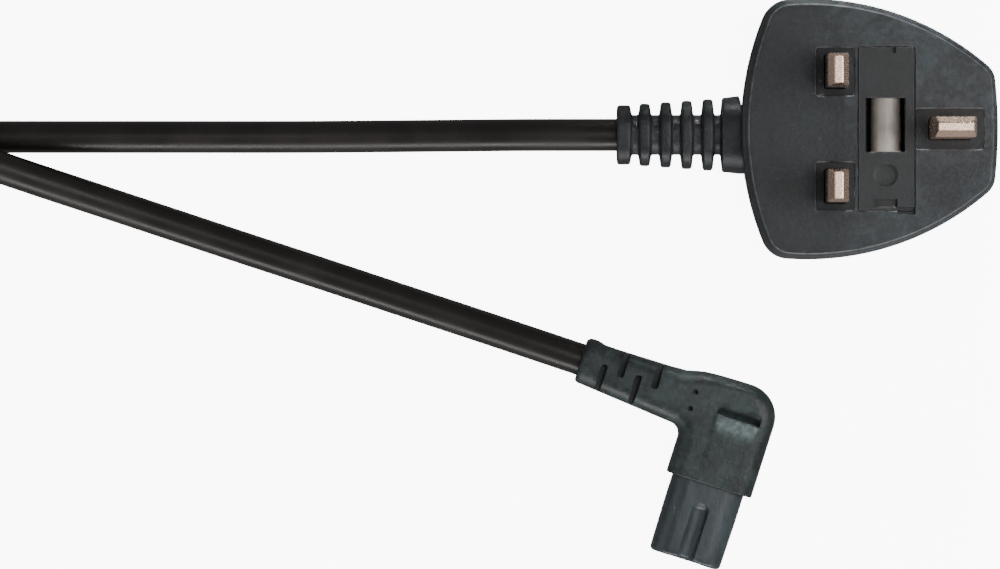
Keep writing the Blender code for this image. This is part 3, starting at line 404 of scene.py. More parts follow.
def soft_plastic(
    name, colour, roughness=0.42, bloom=(0.032, 0.040, 0.045), face_level=None, lip_level=None,
):
    """Black overmoulding with a spark-eroded grain, a cloudy bloom and a few pale specks.

    The arris just under the face level is painted paler in patches as a highlight, the recesses
    just under it are painted darker as shade, and the core between the ribs is painted paler as
    fill light, in blotches. Towards -X the bloom is painted fainter, as shade on that side of the
    face. Above the lip level the surface is painted paler as a highlight.
    """
    finish = Finish(name, roughness=roughness, Specular_IOR_Level=0.42)
    place = finish.place()
    level = finish.axis(place, "Z")
    drifts = finish.between(finish.noise(place, 75, 3, 0.55, 0.6), 0.4, 0.6)
    clouds = finish.between(finish.noise(place, 260, 5, 0.62, 0.4), 0.44, 0.6)
    blotches = finish.between(finish.noise(place, 950, 4, 0.65), 0.42, 0.66)
    grain = finish.noise(place, 4600, 2, 0.6)
    sharp_grain = finish.between(grain, 0.38, 0.66)
    share = drifts * 0.28 + clouds * 0.35 + blotches * 0.22 + sharp_grain * 0.22
    # Painted light and shade: the bloom is fainter towards -X, so the face is darker on the cord side
    # and paler towards the lit earth end.
    if face_level:
        share = share * finish.between(finish.axis(place, "X"), -24 * MM, 18 * MM, 0.3, 1.3)
    base = finish.blend(share, colour, tinted(colour, 1.0, bloom))
    specks = finish.between(finish.cells(place, 1300), 0.16, 0.06)
    specks = specks * finish.between(finish.noise(place, 420, 2), 0.52, 0.66)
    base = finish.blend(specks * 0.3, base, (0.20, 0.22, 0.23))
    gloss = roughness - 0.1 + clouds * 0.1 + grain * 0.14
    if face_level:
        # Painted highlight: the arris just under the face level is painted paler, in patches.
        rubbed = finish.band(level, face_level, -0.26, -0.1, -0.02, -0.004)
        patchy = finish.between(finish.noise(place, 700, 3, 0.7), 0.3, 0.6, 0.25, 1.0)
        base = finish.blend(rubbed * patchy * 0.5, base, (0.17, 0.185, 0.19))
        # Painted shade: the recess floors 0.3 mm under the face are painted darker.
        recess_shade = finish.band(level, face_level, -0.34, -0.31, -0.29, -0.26)
        base = finish.blend(recess_shade * 0.6, base, (0.007, 0.006, 0.006))
        # Painted fill light: the core between the ribs, where shade falls, is painted paler, in
        # blotches.
        rib_fill_light = rib_fill_light_mask(finish, place) * (0.3 + blotches * 0.28)
        base = finish.blend(rib_fill_light, base, (0.09, 0.092, 0.097))
        gloss = gloss + finish.band(level, face_level, -1.2, -1.0, -0.25, -0.1) * 0.12
    # Painted highlight: above the lip level the pad's raised lip is painted paler.
    if lip_level:
        lip = finish.between(level, lip_level + 0.08 * MM, lip_level + 0.42 * MM)
        base = finish.blend(lip * (0.5 + blotches * 0.4), base, (0.15, 0.19, 0.188))
    finish.paint(base)
    finish.drive("Roughness", gloss)
    finish.relief(grain * 0.7 + blotches * 0.3, 0.00009, 0.7)
    return finish.material


def rib_fill_light_mask(finish, place):
    """Painted fill light, full on the core between the strain relief's ribs, gone at half their height.
    """
    across = finish.axis(place, "Y") - RELIEF_Y
    up = finish.axis(place, "Z") - RELIEF_Z
    rib_fill_light = finish.between(across * across + up * up, (5.6 * MM) ** 2, (4.1 * MM) ** 2)
    return rib_fill_light * finish.between(finish.axis(place, "X"), -PLUG_LENGTH / 2, -PLUG_LENGTH / 2 - MM)


def satin_plastic(name, colour, roughness=0.36):
    """Hard moulded nylon: fine grain and faint flow lines."""
    finish = Finish(name, roughness=roughness, Specular_IOR_Level=0.42)
    place = finish.place()
    flow = finish.noise(finish.stretched(place, (1.0, 0.25, 1.0)), 420, 4, 0.6, 0.6)
    grain = finish.noise(place, 5200, 2, 0.5)
    share = finish.between(flow, 0.38, 0.66)
    mottle = share * 0.6 + finish.between(grain, 0.4, 0.66) * 0.35
    finish.paint(finish.blend(mottle, colour, tinted(colour, 1.6, (0.005, 0.007, 0.008))))
    finish.drive("Roughness", roughness - 0.05 + share * 0.09 + grain * 0.05)
    finish.relief(grain + flow * 0.4, 0.00005, 0.5)
    return finish.material


def worn_brass(name, colour, roughness=0.3, streaks=(1.0, 1.0, 0.06), shaded_slopes=False):
    """Bare brass: drawn streaks, a brown tarnish and small handling marks.

    With shaded slopes the slopes are painted darker and browner than the level faces, as shade,
    most of all those that face -Y, away from the light; the level faces keep a faint tarnish
    and the pits.
    """
    finish = Finish(name, roughness=roughness, metallic=1.0)
    place = finish.place()
    drawn = finish.noise(finish.stretched(place, streaks), 5200, 3, 0.6)
    tarnish_and_shade = finish.between(finish.noise(place, 380, 4, 0.6, 0.4), 0.36, 0.7)
    marks = finish.between(finish.noise(place, 2300, 4, 0.7, 1.2), 0.6, 0.74)
    pits = finish.between(finish.noise(place, 5200, 3, 0.7), 0.5, 0.68)
    if shaded_slopes:
        # Painted shade: by the true normal the slopes get a brown shaded copy of the brass, most of all
        # those facing -Y.
        facing = finish.add("ShaderNodeNewGeometry", output="True Normal")
        level = finish.between(finish.axis(facing, "Z"), 0.75, 0.97)
        shaded = finish.between(finish.axis(facing, "Y"), -0.5, 0.7, 1.0, 0.1)
        slopes = shaded * (0.6 + tarnish_and_shade * 0.4)
        tarnish_and_shade = level * tarnish_and_shade * 0.3 + (1.0 - level) * slopes
        pits = pits * level
    else:
        pits = pits * 0.2
    base = finish.blend(tarnish_and_shade * 0.8, colour, tinted(colour, 0.86, (0.02, 0.01, 0.005)))
    base = finish.blend(finish.between(drawn, 0.35, 0.65) * 0.25, base, tinted(colour, 0.75))
    base = finish.blend(pits * 0.4, base, tinted(colour, 0.4))
    finish.paint(finish.blend(marks * 0.3, base, tinted(colour, 0.55)))
    finish.drive("Roughness", roughness - 0.09 + drawn * 0.12 + marks * 0.08)
    finish.relief(drawn * 0.6 + marks * 0.3 - pits, 0.000012, 0.6)
    return finish.material


def plated_metal(name, colour, roughness=0.24):
    """Thin plated sheet, slightly rubbed."""
    finish = Finish(name, roughness=roughness, metallic=1.0)
    place = finish.place()
    rubbed = finish.noise(finish.stretched(place, (1.0, 0.2, 1.0)), 3000, 4, 0.6)
    haze = finish.between(finish.noise(place, 500, 3, 0.6), 0.35, 0.7)
    finish.paint(finish.blend(haze * 0.4, colour, tinted(colour, 0.75)))
    finish.drive("Roughness", roughness + haze * 0.12 + rubbed * 0.08)
    finish.relief(rubbed, 0.00001, 0.5)
    return finish.material


def fired_ceramic(name, colour):
    """Chalky tube with fine pores, greyer in places."""
    finish = Finish(name, roughness=0.42, Coat_Weight=0.25, Coat_Roughness=0.25)
    place = finish.place()
    clouds = finish.between(finish.noise(place, 380, 4, 0.6), 0.3, 0.75)
    pores = finish.between(finish.noise(place, 5200, 2, 0.5), 0.62, 0.74)
    base = finish.blend(clouds * 0.6, tinted(colour, 1.08), tinted(colour, 0.82))
    finish.paint(finish.blend(pores * 0.35, base, tinted(colour, 0.5)))
    finish.drive("Roughness", 0.36 + clouds * 0.14)
    finish.relief(pores * -1.0 + clouds * 0.3, 0.00003, 0.4)
    return finish.material


def cord_sheath(name, colour):
    """Extruded sheath: soft gloss with faint lengthwise draw marks."""
    finish = Finish(name, roughness=0.38, Specular_IOR_Level=0.35)
    place = finish.place()
    along = finish.add("ShaderNodeAttribute", {"attribute_name": "along_cord"}, output="Fac")
    around = finish.add("ShaderNodeAttribute", {"attribute_name": "round_cord"}, output="Vector")
    drawn = finish.noise(finish.stretched(around, (1.0, 1.0, 0.0)), 900, 3, 0.6)
    slow = finish.between(finish.noise(place, 90, 3, 0.5), 0.35, 0.7)
    fine = finish.noise(place, 3800, 2, 0.5)
    wave = finish.add("ShaderNodeMath", {"operation": "SINE"}, {0: along * 190.0})
    pale = tinted(colour, 1.6, (0.006, 0.004, 0.003))
    finish.paint(finish.blend(slow * 0.5 + drawn * 0.2, colour, pale))
    finish.drive("Roughness", 0.31 + slow * 0.07 + fine * 0.06 + wave * 0.008)
    finish.relief(drawn * 0.7 + fine * 0.35, 0.00003, 0.5)
    return finish.material


def woven_strap(name, colour):
    """Hook-and-loop webbing: a fuzzy pile over a plain weave."""
    finish = Finish(name, roughness=0.85, Sheen_Weight=0.3, Sheen_Roughness=0.4)
    place = finish.place()
    loops = finish.cells(place, 1900)
    weave = finish.noise(place, 2400, 3, 0.7)
    share = finish.between(loops, 0.1, 0.55)
    finish.paint(finish.blend(share * 0.7 + weave * 0.2, tinted(colour, 2.2), colour))
    finish.drive("Roughness", 0.78 + share * 0.15)
    finish.relief(loops * -0.8 + weave * 0.5, 0.0002, 0.8)
    return finish.material


def paper_floor(name, colour, glow):
    """Translucent studio paper, lit from below."""
    finish = Finish(
        name, roughness=0.8, Specular_IOR_Level=0.2,
        Emission_Color=(1.0, 1.0, 1.0, 1.0), Emission_Strength=glow,
    )
    place = finish.place()
    fibres = finish.noise(place, 900, 3, 0.6)
    cloud = finish.between(finish.noise(place, 6, 3, 0.5), 0.3, 0.7)
    finish.paint(finish.blend(cloud * 0.3, colour, tinted(colour, 0.985)))
    finish.relief(fibres, 0.00003, 0.2)
    return finish.material


# Mesh building


def link_mesh(name, bm):
    """An object in the scene, made of a bmesh that is then freed."""
    mesh = bpy.data.meshes.new(name)
    bm.to_mesh(mesh)
    bm.free()
    made = bpy.data.objects.new(name, mesh)
    bpy.context.collection.objects.link(made)
    return made


def new_piece(name, bm, material, body, replaces, sharp=38):
    """One piece of the model, shaded smooth, riding on its body."""
    bmesh.ops.recalc_face_normals(bm, faces=bm.faces)
    piece = link_mesh(name, bm)
    dress(piece, material, sharp)
    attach(piece, body)
    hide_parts(*replaces)
    return piece


def dress(piece, material, sharp=38):
    mesh = piece.data
    mesh.materials.clear()
    mesh.materials.append(material)
    mesh.shade_smooth()
    mesh.set_sharp_from_angle(angle=radians(sharp))


def join_and_cut(piece, tools):
    """Apply boolean tools, each a bmesh with its operation, and tidy the shading."""
    made = []
    for bm, operation in tools:
        bmesh.ops.recalc_face_normals(bm, faces=bm.faces)
        made.append(link_mesh("tool", bm))
        step = piece.modifiers.new("cut", "BOOLEAN")
        step.operation = operation
        step.solver = "EXACT"
        step.object = made[-1]
    depsgraph = bpy.context.evaluated_depsgraph_get()
    result = bpy.data.meshes.new_from_object(piece.evaluated_get(depsgraph))
    material = piece.data.materials[0]
    piece.modifiers.clear()
    piece.data = result
    for tool in made:
        mesh = tool.data
        bpy.data.objects.remove(tool)
        bpy.data.meshes.remove(mesh)
    dress(piece, material)
    even_shading(piece)


def even_shading(piece):
    """Keep wide faces flat beside their rounded edges."""
    step = piece.modifiers.new("even_shading", "WEIGHTED_NORMAL")
    step.keep_sharp = True
    step.weight = 60


def rounded_rectangle(width, height, radius, steps=5):
    """Points of a rounded rectangle round (0, 0), anticlockwise."""
    points = []
    for corner in range(4):
        across = 1 if corner in (0, 3) else -1
        up = 1 if corner < 2 else -1
        for step in range(steps + 1):
            angle = (corner + step / steps) * pi / 2
            points.append((
                across * (width / 2 - radius) + radius * cos(angle),
                up * (height / 2 - radius) + radius * sin(angle),
            ))
    return points


def add_ring(bm, points):
    return [bm.verts.new(point) for point in points]


def bridge(bm, ring, other):
    for i in range(len(ring)):
        j = (i + 1) % len(ring)
        bm.faces.new((ring[i], ring[j], other[j], other[i]))


def loft(rings):
    """A solid through rings of equally many points, closed at both ends."""
    bm = bmesh.new()
    made = [add_ring(bm, ring) for ring in rings]
    for ring, other in zip(made, made[1:]):
        bridge(bm, ring, other)
    bm.faces.new(made[0])
    bm.faces.new(made[-1])
    return bm


def hollow_loft(outer_rings, inner_rings):
    """A closed tube whose outer and inner rings match, one to one."""
    bm = bmesh.new()
    outer = [add_ring(bm, ring) for ring in outer_rings]
    inner = [add_ring(bm, ring) for ring in inner_rings]
    for rings in (outer, inner):
        for ring, other in zip(rings, rings[1:]):
            bridge(bm, ring, other)
    for end in (0, -1):
        bridge(bm, outer[end], inner[end])
    return bm


def turned(profile, steps=64):
    """A solid of revolution round Z from (radius, height) points; its ends are on the axis."""
    bm = bmesh.new()
    angles = [2 * pi * i / steps for i in range(steps)]
    rings = []
    for radius, height in profile:
        if radius == 0:
            rings.append(add_ring(bm, [(0, 0, height)]))
        else:
            rings.append(add_ring(bm, [(radius * cos(a), radius * sin(a), height) for a in angles]))
    for ring, other in zip(rings, rings[1:]):
        for i in range(steps):
            j = i + 1
            corners = [ring[i % len(ring)], ring[j % len(ring)]]
            corners += [other[j % len(other)], other[i % len(other)]]
            unique = list(dict.fromkeys(corners))
            if len(unique) > 2:
                bm.faces.new(unique)
    return bm


def block(low, high):
    low, high = Vector(low), Vector(high)
    bm = bmesh.new()
    bmesh.ops.create_cube(bm, size=1.0)
    size = Matrix.Diagonal((*(high - low), 1.0))
    bm.transform(Matrix.Translation((low + high) / 2) @ size)
    return bm


def pit(centre, width, length, corner, bottom, top, flare=EDGE, steps=6, floor_edge=0.0):
    """A cutter for a recess in a level face; it flares at the mouth, so the edge is broken."""
    levels = [(bottom, -floor_edge), (bottom + floor_edge, 0.0)] if floor_edge else [(bottom, 0.0)]
    levels += [(top - flare, 0.0), (top, flare), (top + 2 * MM, flare)]
    rings = []
    for z, grow in levels:
        radius = max(corner + grow, 0.02 * MM)
        points = rounded_rectangle(width + 2 * grow, length + 2 * grow, radius, steps)
        rings.append([(centre[0] + x, centre[1] + y, z) for x, y in points])
    return loft(rings)


def face_notch(x, y, width, length, flare=0.08 * MM):
    """A cutter for a small square cut, 1 mm deep, in the contact face."""
    return pit((x, y), width, length, 0.1 * MM, FACE_Z - MM, FACE_Z, flare, 3)


def blend(start, end, share):
    return start + (end - start) * share


def ease(share):
    share = min(max(share, 0.0), 1.0)
    return share * share * (3 - 2 * share)


def arc(centre, radius, start, end, steps):
    """Points on an arc, without its last one."""
    angles = [start + (end - start) * i / steps for i in range(steps)]
    return [(centre[0] + radius * cos(a), centre[1] + radius * sin(a)) for a in angles]


# Plug


def circle_crossing(centre_a, radius_a, centre_b, radius_b):
    """The point where two circles cross, to the left of the way from a to b."""
    dx = centre_b[0] - centre_a[0]
    dy = centre_b[1] - centre_a[1]
    apart = hypot(dx, dy)
    along = (radius_a**2 - radius_b**2 + apart**2) / (2 * apart)
    off = sqrt(radius_a**2 - along**2)
    return (
        centre_a[0] + (along * dx - off * dy) / apart,
        centre_a[1] + (along * dy + off * dx) / apart,
    )


def plug_outline(inset):
    """Four wide arcs with rounded corners, moved in by an inset."""
    half = PLUG_LENGTH / 2
    rise = PLUG_WIDTH / 2 - LONG_SIDE_RADIUS
    sides = [
        ((half - EARTH_END_RADIUS, 0.0), EARTH_END_RADIUS, 20),
        ((WIDEST_X, rise), LONG_SIDE_RADIUS, 56),
        ((CORD_SIDE_RADIUS - half, 0.0), CORD_SIDE_RADIUS, 40),
        ((WIDEST_X, -rise), LONG_SIDE_RADIUS, 56),
    ]
    radii = [EARTH_CORNER_RADIUS, CORD_CORNER_RADIUS, CORD_CORNER_RADIUS, EARTH_CORNER_RADIUS]
    corners = []
    for i, radius in enumerate(radii):
        (centre_a, radius_a, _), (centre_b, radius_b, _) = sides[i], sides[(i + 1) % 4]
        centre = circle_crossing(centre_a, radius_a - radius, centre_b, radius_b - radius)
        start = atan2(centre[1] - centre_a[1], centre[0] - centre_a[0])
        end = atan2(centre[1] - centre_b[1], centre[0] - centre_b[0])
        corners.append((centre, radius, start, end))
    points = []
    for i, (centre, radius, steps) in enumerate(sides):
        start, end = corners[i - 1][3], corners[i][2]
        points += arc(centre, radius - inset, start, turn_after(start, end), steps)
        centre, radius, start, end = corners[i]
        points += arc(centre, radius - inset, start, turn_after(start, end), 18)
    return points


def turn_after(start, end):
    while end < start:
        end += 2 * pi
    return end


def plug_levels(rim_width, rim_height):
    """Height, inset and shift of each level, from the back to the contact face."""
    levels = []
    for step in range(13):
        angle = step / 12 * pi / 2
        inset = BACK_EDGE_INSET - (BACK_EDGE_INSET - PARTING_STEP) * sin(angle)
        levels.append((BACK_EDGE_HEIGHT * (1 - cos(angle)), inset, 0.0))
    for z, inset in ((-0.28, 1.0), (-0.2, 0.85), (-0.1, 0.75), (0.0, 0.1), (0.12, 0.0)):
        levels.append((PARTING_Z + z * MM, PARTING_STEP * inset, 0.0))
    rim = [
        (1.0, 0.0), (0.86, 0.02), (0.74, 0.07), (0.64, 0.15), (0.56, 0.25), (0.36, 0.52),
        (0.17, 0.78), (0.08, 0.9), (0.015, 0.95), (0.0, 1.0),
    ]
    for drop, share in rim:
        levels.append((FACE_Z - drop * rim_height, share * rim_width, share * RIM_SHIFT))
    levels.append((FACE_Z, 1.35 * rim_width, RIM_SHIFT))
    return levels


def relief_section(x, width, flatness=RIB_FLATNESS, rounding=RIB_ROUNDING):
    points = rounded_rectangle(width, width * flatness, rounding * width * flatness, 9)
    return [(x, RELIEF_Y + y, RELIEF_Z + z) for y, z in points]


def rib_sections(start, end, width):
    """One rib with leaning flanks and a rounded outer edge."""
    profile = [
        (-0.5, 0.0, 0.48), (-0.36, 0.05, 0.47), (-0.25, 0.22, 0.45), (-0.12, 0.62, 0.43),
        (-0.02, 0.86, 0.42), (0.07, 0.93, 0.42), (0.24, 0.98, 0.42), (0.5, 1.0, 0.42),
    ]
    sections = [(start + x * MM, share, rounding) for x, share, rounding in profile]
    sections += [(end - x * MM, share, rounding) for x, share, rounding in reversed(profile)]
    return [
        relief_section(x, blend(CORE_WIDTH, width, share), blend(1.0, RIB_FLATNESS, share), rounding)
        for x, share, rounding in sections
    ]


def relief_loft():
    """The ribbed strain relief, from the cord's end into the plug's wall."""
    outline_x = -PLUG_LENGTH / 2
    start = outline_x - RELIEF_LENGTH
    rings = []
    for rib in range(RIB_COUNT):
        length = END_RIB_LENGTH if rib == 0 else RIB_LENGTH
        middle = start + END_RIB_LENGTH / 2 + rib * RIB_PITCH
        width = blend(*RIB_WIDTHS, rib / (RIB_COUNT - 1))
        sections = rib_sections(middle - length / 2, middle + length / 2, width)
        rings += sections[3:] if rib == 0 else sections
    collar = outline_x - COLLAR_LENGTH
    for x, share in ((-0.5, 0.0), (-0.36, 0.06), (-0.25, 0.25), (-0.12, 0.66), (0.0, 0.94), (0.2, 1.0)):
        width = blend(CORE_WIDTH, COLLAR_WIDTHS[0], share)
        rings.append(relief_section(collar + x * MM, width, blend(1.0, RIB_FLATNESS, share)))
    rings.append(relief_section(outline_x - 0.35 * MM, COLLAR_WIDTHS[1]))
    for depth, limit in ((0.5 * MM, 3.6 * MM), (4.0 * MM, 3.4 * MM)):
        section = relief_section(outline_x + depth, COLLAR_WIDTHS[1])
        rings.append([(x, min(y, limit), z) for x, y, z in section])
    return loft(rings)


def pin_places():
    half = PIN_SPACING / 2
    return {
        "line": (PIN_ROW_X, half),
        "neutral": (PIN_ROW_X, -half),
        "earth": (PIN_ROW_X + PIN_SPACING, 0.0),
    }


def face_cutters():
    """The pocket, the pin holes and their shallow recesses, and the notch by the drawer."""
    cutters = [pit(
        (CARRIER_X, 0.0), CARRIER_WIDTH + 2 * GAP, CARRIER_LENGTH + 2 * GAP, 0.7 * MM,
        FACE_Z - POCKET_DEPTH, FACE_Z, 0.08 * MM,
    )]
    live = (PIN_THICKNESS, PIN_WIDTH, 3.4 * MM, 2.8 * MM)
    earth = (EARTH_PIN_WIDTH, PIN_THICKNESS, 5.2 * MM, 3.8 * MM)
    floor = FACE_Z - PIN_RECESS
    for name, place in pin_places().items():
        across, along, pad_x, pad_y = earth if name == "earth" else live
        cutters.append(pit(
            place, across + pad_x, along + pad_y, 0.5 * MM, floor, FACE_Z, 0.27 * MM,
        ))
        cutters.append(pit(
            place, across + 2 * PIN_GAP, along + 2 * PIN_GAP, 0.55 * MM,
            FACE_Z - PIN_ROOT - GAP, floor, 0.05 * MM,
        ))
    end = -CARRIER_LENGTH / 2 - GAP
    right = CARRIER_X + CARRIER_WIDTH / 2 + GAP
    return cutters + [face_notch(right - 1.7 * MM, end - 0.1 * MM, 3.4 * MM, 1.0 * MM)]


def cord_bore(mouth):
    """A cutter for the hole that the cord goes in by, along +X, with a broken edge at its mouth."""
    edge = 0.25 * MM
    bore = turned([
        (0, BORE_DEPTH), (BORE_RADIUS, BORE_DEPTH), (BORE_RADIUS, edge), (BORE_RADIUS + edge, 0),
        (BORE_RADIUS + edge, -MM), (0, -MM),
    ])
    inward = Vector((1.0, 0.0, 0.0)).to_track_quat("Z", "Y").to_matrix().to_4x4()
    bore.transform(Matrix.Translation(mouth) @ inward)
    return bore


class POWERCORD_OT_plug(Operator):
    """Mould the plug's body with its strain relief"""

    bl_idname = "power_cord.plug"
    bl_label = "Plug Moulding"

    def execute(self, context):
        settings = context.scene.power_cord.plug
        levels = plug_levels(settings.rim_width, settings.rim_height)
        rings = [[(x + shift, y, z) for x, y in plug_outline(inset)] for z, inset, shift in levels]
        finish = soft_plastic("plug_pvc", settings.colour, face_level=FACE_Z)
        piece = new_piece("plug_moulding", loft(rings), finish, LEAD, ["plug_body"])
        cutters = [*face_cutters(), cord_bore(mm(*CORD_EXIT))]
        join_and_cut(piece, [(relief_loft(), "UNION"), *((cutter, "DIFFERENCE") for cutter in cutters)])
        return {"FINISHED"}


# Pins


def pin_ring(width, thickness, level, lengthwise=False, corner=0.35 * MM):
    across, along = (width, thickness) if lengthwise else (thickness, width)
    corner = min(corner, 0.45 * min(across, along))
    return [(x, y, level) for x, y in rounded_rectangle(across, along, corner)]


def tip_rings(width, thickness, top, slope, lengthwise=False):
    """The four slopes of a pin's tip, with broken edges between them."""
    tip = [
        (0.0, 0.0, 0.0), (0.04, 0.0, 0.0), (0.1, 0.03, 0.04), (0.17, 0.09, 0.12),
        (0.9, 0.88, 0.92), (0.96, 0.95, 0.98), (0.99, 1.02, 1.06), (1.0, 1.1, 1.15),
    ]
    rings = []
    for rise, short, long in tip:
        rings.append(pin_ring(
            width - 2 * TIP_END_SLOPE * short, thickness - 2 * slope * long,
            top - TIP_HEIGHT + rise * TIP_HEIGHT, lengthwise, blend(0.35, 0.14, rise) * MM,
        ))
    return rings


def moved(rings, place):
    return [[(x + place[0], y + place[1], z) for x, y, z in ring] for ring in rings]


class POWERCORD_OT_pins(Operator):
    """Make the three pins and the two sleeves"""

    bl_idname = "power_cord.pins"
    bl_label = "Pins"

    def execute(self, context):
        settings = context.scene.power_cord.pins
        brass = worn_brass("pin_brass", settings.colour, shaded_slopes=True)
        nylon = satin_plastic("sleeve_nylon", settings.sleeve_colour)
        slope = settings.tip_slope
        neck_top = FACE_Z + SLEEVE_LENGTH
        root = FACE_Z - PIN_ROOT
        for name in ("line", "neutral"):
            inset = 2 * (SLEEVE_WALL + PIN_GAP)
            rings = [pin_ring(PIN_WIDTH - inset, PIN_THICKNESS - inset, z) for z in (root, neck_top)]
            rings += [
                pin_ring(PIN_WIDTH - 0.1 * MM, PIN_THICKNESS - 0.1 * MM, neck_top),
                pin_ring(PIN_WIDTH, PIN_THICKNESS, neck_top + 0.05 * MM),
            ]
            rings += tip_rings(PIN_WIDTH, PIN_THICKNESS, FACE_Z + PIN_LENGTH, slope)
            self.blade(name, rings, brass)
            self.sleeve(name, root, neck_top - PIN_GAP, nylon)
        rings = [pin_ring(EARTH_PIN_WIDTH, PIN_THICKNESS, root, True)]
        rings += tip_rings(EARTH_PIN_WIDTH, PIN_THICKNESS, FACE_Z + EARTH_PIN_LENGTH, slope, True)
        self.blade("earth", rings, brass)
        return {"FINISHED"}

    def blade(self, name, rings, brass):
        bm = loft(moved(rings, pin_places()[name]))
        even_shading(new_piece(f"{name}_blade", bm, brass, LEAD, [f"{name}_pin"], sharp=25))

    def sleeve(self, name, root, top, nylon):
        outer, inner = [], []
        for z, edge in ((root, 0.0), (top - 0.08 * MM, 0.0), (top, 0.08 * MM)):
            for rings, inset in ((outer, 2 * edge), (inner, 2 * SLEEVE_WALL)):
                rings.append(pin_ring(PIN_WIDTH - inset, PIN_THICKNESS - inset, z))
        place = pin_places()[name]
        tube = hollow_loft(moved(outer, place), moved(inner, place))
        new_piece(f"{name}_sleeve", tube, nylon, LEAD, [f"{name}_pin_sleeve"])


# Fuse drawer


def carrier_tools():
    """The trough for the fuse, the window and the small cuts in the drawer's plate."""
    middle = CARRIER_X - 0.2 * MM
    half_width = CARRIER_WIDTH / 2 - 1.0 * MM
    half_length = FUSE_LENGTH / 2 + GAP
    end = CARRIER_LENGTH / 2
    side = CARRIER_X + CARRIER_WIDTH / 2
    trough = block(
        (CARRIER_X - half_width, -half_length, FACE_Z - POCKET_DEPTH - MM),
        (CARRIER_X + half_width, half_length, FACE_Z - CARRIER_PLATE),
    )
    window = pit(
        (middle, 0.8 * MM), 7.5 * MM, 10.4 * MM, 0.15 * MM, FACE_Z - 2 * CARRIER_PLATE, FACE_Z,
        0.14 * MM,
    )
    dimple = turned([mm(*point) for point in (
        (0, -0.24), (1.7, -0.24), (2.0, -0.22), (2.2, -0.14), (2.34, -0.06), (2.5, 0.06), (2.5, 2),
        (0, 2),
    )])
    dimple.transform(Matrix.Translation((middle, -8.9 * MM, FACE_Z)))
    slot = face_notch(middle, -end + 0.6 * MM + 0.75 * MM, 4.4 * MM, 1.5 * MM)
    corner = face_notch(side - 1.4 * MM, -end, 3.4 * MM, 1.2 * MM)
    key = face_notch(CARRIER_X + 1.4 * MM, end, 0.7 * MM, 2.0 * MM, 0.06 * MM)
    return [trough, window, dimple, slot, corner, key]


def lie_in_drawer(bm, y, facing):
    """Turn a part made round Z so that it lies along Y on the fuse's axis."""
    turn = Matrix.Rotation(-facing * pi / 2, 4, "X")
    bm.transform(Matrix.Translation((CARRIER_X, y, FUSE_Z)) @ turn)
    return bm


